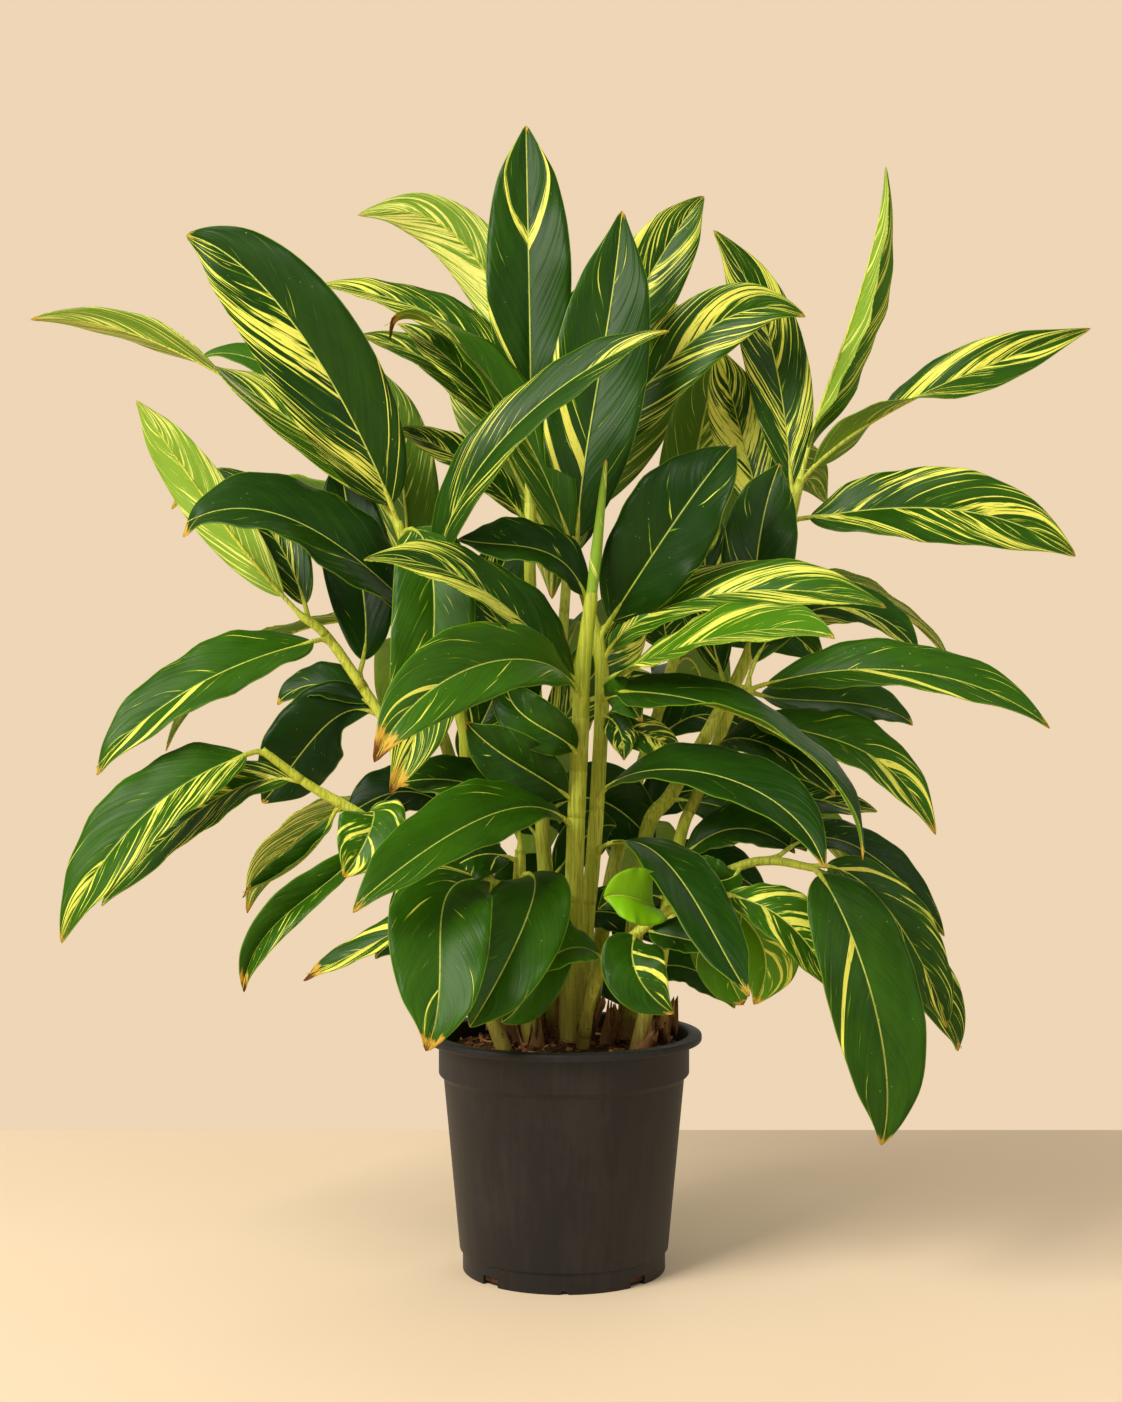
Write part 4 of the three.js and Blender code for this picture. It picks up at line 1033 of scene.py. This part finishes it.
def potMaterial():
    material, flow, shader = newMaterial("nursery_pot", IOR=1.47, Specular_IOR_Level=0.32)
    place = objectPlace(flow)
    cloud = place.stretched(1, 1, 0.6).noise(14, 4.0, 0.6)
    streak = place.stretched(1, 1, 0.06).noise(150, 2.0, 0.6)
    grain = place.noise(1900, 1.0)
    speck = place.noise(420, 1.0).ease(0.74, 0.77)
    dusty = (cloud + streak * 0.4).ease(0.6, 0.95) * 0.35 + speck * 0.35
    colour = dusty.blend(pot["charcoal"], pot["dust"])
    rough = pot["rough"] + cloud * 0.16 + streak * 0.05
    finishMaterial(flow, shader, colour, rough, grain * 0.35 + streak * 0.4, pot["relief"])
    return material


def makePot():
    body = turned(pot["sides"], pot["profile"], "nursery_pot")
    corner = math.radians(pot["corner"])
    applyModifier(
        body, "BEVEL", width=pot["bevel"], segments=2, limit_method="ANGLE", angle_limit=corner,
    )
    radius = pot["profile"][0][0]
    cutters = []
    for kind in ("drain", "notch"):
        form = pot[kind]
        for i in range(form["count"]):
            turn = math.radians(form["turn"]) + i * 2 * math.pi / form["count"]
            at = (radius * math.cos(turn), radius * math.sin(turn), 0)
            if kind == "drain":
                bpy.ops.mesh.primitive_cube_add(size=1, location=at, rotation=(0, 0, turn))
                bpy.context.object.scale = (form["reach"], form["width"], form["height"] * 2)
            else:
                bpy.ops.mesh.primitive_cylinder_add(
                    vertices=24, radius=form["radius"], depth=form["reach"],
                    location=at, rotation=(0, math.pi / 2, turn),
                )
            cutters.append(bpy.context.object)
    for cutter in cutters:
        applyModifier(body, "BOOLEAN", object=cutter, operation="DIFFERENCE", solver="EXACT")
        bpy.data.objects.remove(cutter)
    smoothEdges(body, pot["smoothUnder"])
    body.data.materials.append(potMaterial())
    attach(body, "root")
    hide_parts("pot")


# Soil: peat with crumbs, and bark chips lying on it.

soil = {
    "profile": [(0.098, 0.0036), (0.098, 0.019), (0.117, 0.19), (0.1212, 0.1974), (0.1219, 0.2165)],
    "sides": 150,
    "ring": 0.0034,
    "rings": 33,
    "crown": 0.006,
    "lump": (0.016, 0.0035),  # breadth and height
    "crumb": (0.0042, 0.0034),
    "relief": 0.0016,
    "chips": 620,
    "chip": (0.0075, 0.0034, 0.0014),
    "chipSize": (0.45, 1.35),
    "chipWidth": (0.6, 1.3),
    "chipRise": (-0.0002, 0.0016),
    "chipTilt": (0.35, 0.3),
    "chipDent": 0.0008,
    "chipRelief": 0.0006,
    "clearOfRim": 0.004,
    "clearOfCanes": 0.003,
    "peat": paint(62, 40, 24),
    "crumbColour": paint(112, 74, 42),
    "bark": paint(146, 94, 52),
    "pale": paint(206, 164, 112),
}


def soilMaterial():
    material, flow, shader = newMaterial("potting_soil", IOR=1.4, Specular_IOR_Level=0.25)
    place = objectPlace(flow)
    crumbs = place.noise(420, 4.0, 0.65)
    lumps = place.noise(90, 3.0, 0.6)
    colour = (crumbs * 0.7 + lumps * 0.4 - 0.2).ease(0.25, 0.6).blend(soil["peat"], soil["crumbColour"])
    finishMaterial(flow, shader, colour, 0.85 + lumps * 0.12, crumbs, soil["relief"])
    return material


def chipMaterial():
    material, flow, shader = newMaterial("bark_chip", IOR=1.4, Specular_IOR_Level=0.3)
    place = objectPlace(flow)
    shade, seed, none = attribute(flow, "tone")
    grain = place.stretched(1, 1, 3).noise(700, 3.0, 0.6)
    colour = (shade + grain * 0.4 - 0.2).ease(0.1, 0.75).blend(soil["peat"], soil["bark"])
    colour = shade.ease(0.8, 1.0).blend(colour, soil["pale"])
    finishMaterial(flow, shader, colour, 0.75 + grain * 0.15, grain, soil["chipRelief"])
    return material


def makeSoil():
    body = turned(soil["sides"], soil["profile"], "peat")
    edit(body)
    bpy.ops.mesh.select_mode(type="FACE")
    bpy.ops.mesh.select_all(action="DESELECT")
    bpy.ops.object.mode_set(mode="OBJECT")
    top = max(body.data.polygons, key=lambda face: face.center.z if len(face.vertices) > 4 else -1)
    top.select = True
    bpy.ops.object.mode_set(mode="EDIT")
    for ring in range(soil["rings"]):
        bpy.ops.mesh.inset(thickness=soil["ring"], depth=0)
    bpy.ops.mesh.poke()
    bpy.ops.object.mode_set(mode="OBJECT")
    rim, edge = soil["profile"][-1]
    group = body.vertex_groups.new(name="top")
    for vertex in body.data.vertices:
        out = math.hypot(vertex.co.x, vertex.co.y)
        if vertex.co.z > edge - 0.0001:
            vertex.co.z += soil["crown"] * (1 - (out / rim) ** 2)
            group.add([vertex.index], min(1.0, (rim - out) / 0.01), "REPLACE")
    for kind in ("lump", "crumb"):
        scale, depth = soil[kind]
        texture = bpy.data.textures.new(kind, "CLOUDS")
        texture.noise_scale = scale
        texture.noise_depth = 2
        applyModifier(
            body, "DISPLACE", texture=texture, texture_coords="LOCAL", direction="Z",
            strength=depth, mid_level=0.5, vertex_group="top",
        )
    smoothEdges(body, 60)
    body.data.materials.append(soilMaterial())

    bpy.ops.mesh.primitive_cube_add(size=1)
    chip = bpy.context.object
    chip.scale = soil["chip"]
    bpy.ops.object.transform_apply(scale=True)
    edit(chip)
    bpy.ops.mesh.select_all(action="SELECT")
    bpy.ops.mesh.subdivide(number_cuts=1)
    bpy.ops.transform.vertex_random(offset=soil["chipDent"], seed=4)
    bpy.ops.object.mode_set(mode="OBJECT")
    chip.data.materials.append(chipMaterial())
    feet = []
    for row in canes.values():
        feet.append((placed(row["path"][0]), row["radius"][0] / 1000 + soil["clearOfCanes"]))
    chips = []
    while len(chips) < soil["chips"]:
        out = (rim - soil["clearOfRim"]) * math.sqrt(random.random())
        turn = random.uniform(0, 2 * math.pi)
        x, y = out * math.cos(turn), out * math.sin(turn)
        size = random.uniform(*soil["chipSize"]) ** 1.5
        if any(math.hypot(x - foot[0], y - foot[1]) < keep for foot, keep in feet):
            continue
        height = edge + soil["crown"] * (1 - (out / rim) ** 2) + random.uniform(*soil["chipRise"])
        lie = Matrix.Translation((x, y, height)) @ Matrix.Rotation(random.uniform(0, 6.3), 4, "Z")
        for axis, tilt in zip("XY", soil["chipTilt"]):
            lie = lie @ Matrix.Rotation(random.gauss(0, tilt), 4, axis)
        lie = lie @ Matrix.Diagonal((size, size * random.uniform(*soil["chipWidth"]), size, 1))
        points = np.array([lie @ vertex.co for vertex in chip.data.vertices])
        tone = (random.random() ** 1.3, random.random(), 0)
        chips.append(copyOf(chip, f"chip_{len(chips)}", points, tone=tone))
    bpy.data.objects.remove(chip)
    body = joinAll([body, *chips], "peat_and_bark")
    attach(body, "root")
    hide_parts("potting_soil")


# Dry husks: the frayed stump of an old cane, and what is left of the lowest sheaths.

husk = {
    "sides": 20,
    "rings": 9,
    "thickness": 0.0006,
    "relief": 0.0008,
    "tan": paint(186, 142, 92),
    "brown": paint(122, 82, 48),
    "stump": [
        {"at": (42, 4), "radius": 6.6, "height": 40, "lean": (7, -4), "tear": 0.34, "flare": 1.15},
        {"at": (42, 4), "radius": 5.4, "height": 52, "lean": (12, 2), "tear": 0.5, "flare": 0.8},
        {"at": (43, 5), "radius": 3.6, "height": 60, "lean": (4, -9), "tear": 0.6, "flare": 0.7},
    ],
    "wraps": {
        "stem_front": 34, "stem_middle": 46, "stem_right": 64, "stem_right_tall": 72,
        "stem_right_low": 52, "stem_left_tall": 60, "stem_tall_back": 56, "stem_front_short": 44,
        "stem_back_right": 58, "stem_back_left": 62, "stem_back": 50, "stem_left": 48,
    },
    "wrapTear": 0.8,
    "wrapFlare": 1.02,
    "wrapGap": 0.0012,
    "inSoil": 0.004,
}


def huskMaterial():
    material, flow, shader = newMaterial("dry_husk", IOR=1.4, Specular_IOR_Level=0.3)
    place = objectPlace(flow)
    x, y, z = place.parts()
    fibre = place.stretched(1, 1, 0.04).noise(900, 3.0, 0.6)
    cloud = place.noise(70, 3.0, 0.6)
    light = fibre * 0.7 + cloud * 0.6 + (z - 0.22).ease(0.0, 0.06) * 0.25 - 0.35
    colour = light.ease(0.1, 0.8).blend(husk["brown"], husk["tan"])
    finishMaterial(flow, shader, colour, 0.75 + cloud * 0.15, fibre, husk["relief"])
    return material


def huskMaster():
    master = tube(husk["sides"], husk["rings"], "NOTHING")
    master.data.materials.append(huskMaterial())
    return master


def tornHusk(master, name, start, lean, radius, height, tear, flare):
    flat = cornersOf(master.data)
    share = flat[:, 2] / husk["rings"]
    turn = np.arctan2(flat[:, 1], flat[:, 0])
    side = np.rint(turn / (2 * np.pi) * husk["sides"]).astype(int) % husk["sides"]
    teeth = np.array([random.random() for i in range(husk["sides"])])
    ripple = np.array([random.uniform(-1, 1) for i in range(husk["sides"])])
    rise = share * height * (1 - tear * teeth[side] * share)
    width = radius * (1 + (flare - 1) * share ** 2 + 0.10 * ripple[side] * (0.3 + share))
    x = start[0] + np.cos(turn) * width + lean[0] * share ** 1.5
    y = start[1] + np.sin(turn) * width + lean[1] * share ** 1.5
    return copyOf(master, name, np.stack([x, y, start[2] + rise], axis=-1))


def makeHusks():
    master = huskMaster()
    low = soil["profile"][-1][1] - husk["inSoil"]
    stump = []
    for i, form in enumerate(husk["stump"]):
        start = (form["at"][0] / 1000, form["at"][1] / 1000, low)
        lean = (form["lean"][0] / 1000, form["lean"][1] / 1000)
        radius, height = form["radius"] / 1000, form["height"] / 1000
        torn = tornHusk(master, f"stump_{i}", start, lean, radius, height, form["tear"], form["flare"])
        stump.append(torn)
    wraps = []
    for name, tall in husk["wraps"].items():
        row = canes[name]
        height = tall / 1000
        foot = placed(row["path"][0])
        there = placed(axisAt(row["path"], height / caneLength(row)))
        start = (foot[0], foot[1], low)
        lean = (there[0] - foot[0], there[1] - foot[1])
        radius = row["radius"][0] / 1000 + husk["wrapGap"]
        tear, flare = husk["wrapTear"], husk["wrapFlare"]
        wraps.append(tornHusk(master, f"wrap_{name}", start, lean, radius, height, tear, flare))
    for pieces, name in ((stump, "husk_stump"), (wraps, "dry_sheaths")):
        piece = joinAll(pieces, name)
        applyModifier(piece, "SOLIDIFY", thickness=husk["thickness"], offset=1)
        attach(piece, "root")
        if name == "husk_stump":
            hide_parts("dried_husk")
    bpy.data.objects.remove(master)


makePot()
print("pot turned")
makeSoil()
print("soil filled in")
makeHusks()
print("husks torn")


# Light, floor and camera

room = {
    "wall": paint(238, 214, 182),
    "floor": paint(238, 214, 182),
    "floorBack": 0.65,
    "floorReach": 4.0,
    # a little lighter than the floor: painted dappled sunlight
    "paintedDappledLight": paint(240, 220, 190),
    "glow": paint(228, 218, 202),
    "glowStrength": 0.55,
    "frameHeight": 1402,  # mm seen at the pot's axis
}


def makeFloor():
    back, reach = room["floorBack"], room["floorReach"]
    bpy.ops.mesh.primitive_plane_add(size=2 * reach, location=(0, back - reach, 0))
    floor = bpy.context.object
    floor.name = "floor"
    bpy.ops.object.transform_apply(location=True)
    material, flow, shader = newMaterial("floor_paint", Roughness=0.8)
    place = objectPlace(flow)
    # faint lighter patches on the floor: painted dappled sunlight
    cloud = place.noise(3.0, 4.0)
    colour = cloud.blend(room["floor"], room["paintedDappledLight"])
    flow.tree.links.new(colour.socket, shader.inputs["Base Color"])
    floor.data.materials.append(material)


def areaLight(name, place, target, size, power, colour):
    data = bpy.data.lights.new(name, "AREA")
    data.size = size
    data.energy = power
    data.color = colour
    lamp = bpy.data.objects.new(name, data)
    lamp.location = place
    lamp.rotation_euler = (Vector(target) - Vector(place)).to_track_quat("-Z", "Y").to_euler()
    bpy.context.collection.objects.link(lamp)


lamps = {  # place, what it shines on, size, power, colour
    "key": ((-2.3, -2.3, 2.8), (0, 0, 0.55), 2.0, 180, (1.0, 0.95, 0.87)),
    "fill": ((2.6, -2.2, 1.6), (0, 0, 0.6), 1.8, 13, (1.0, 0.98, 0.95)),
    "back": ((1.0, 2.6, 2.4), (0, 0, 0.6), 2.0, 22, (1.0, 0.96, 0.9)),
}


def makeLight():
    for name, row in lamps.items():
        areaLight(name, *row)
    world = bpy.data.worlds.new("studio")
    world.use_nodes = True
    bpy.context.scene.world = world
    tree = world.node_tree
    background = tree.nodes["Background"]
    flow = Flow(tree)
    seen = flow.node("LightPath", None, None, ("Is Camera Ray",))
    colour = seen.blend(room["glow"], room["wall"])
    tree.links.new(colour.socket, background.inputs["Color"])
    strength = room["glowStrength"] + seen * (1 - room["glowStrength"])
    tree.links.new(strength.socket, background.inputs["Strength"])


def makeCamera():
    data = bpy.data.cameras.new("camera")
    data.sensor_width = 36
    data.lens = data.sensor_width * eye["distance"] / room["frameHeight"]
    data.clip_start = 0.05
    data.clip_end = 30
    camera = bpy.data.objects.new("camera", data)
    camera.location = (eye["across"] / 1000, -eye["distance"] / 1000, eye["height"] / 1000)
    camera.rotation_euler = (math.pi / 2, 0, 0)
    bpy.context.collection.objects.link(camera)
    bpy.context.scene.camera = camera


makeFloor()
makeLight()
makeCamera()
bpy.context.scene.view_settings.view_transform = "Standard"
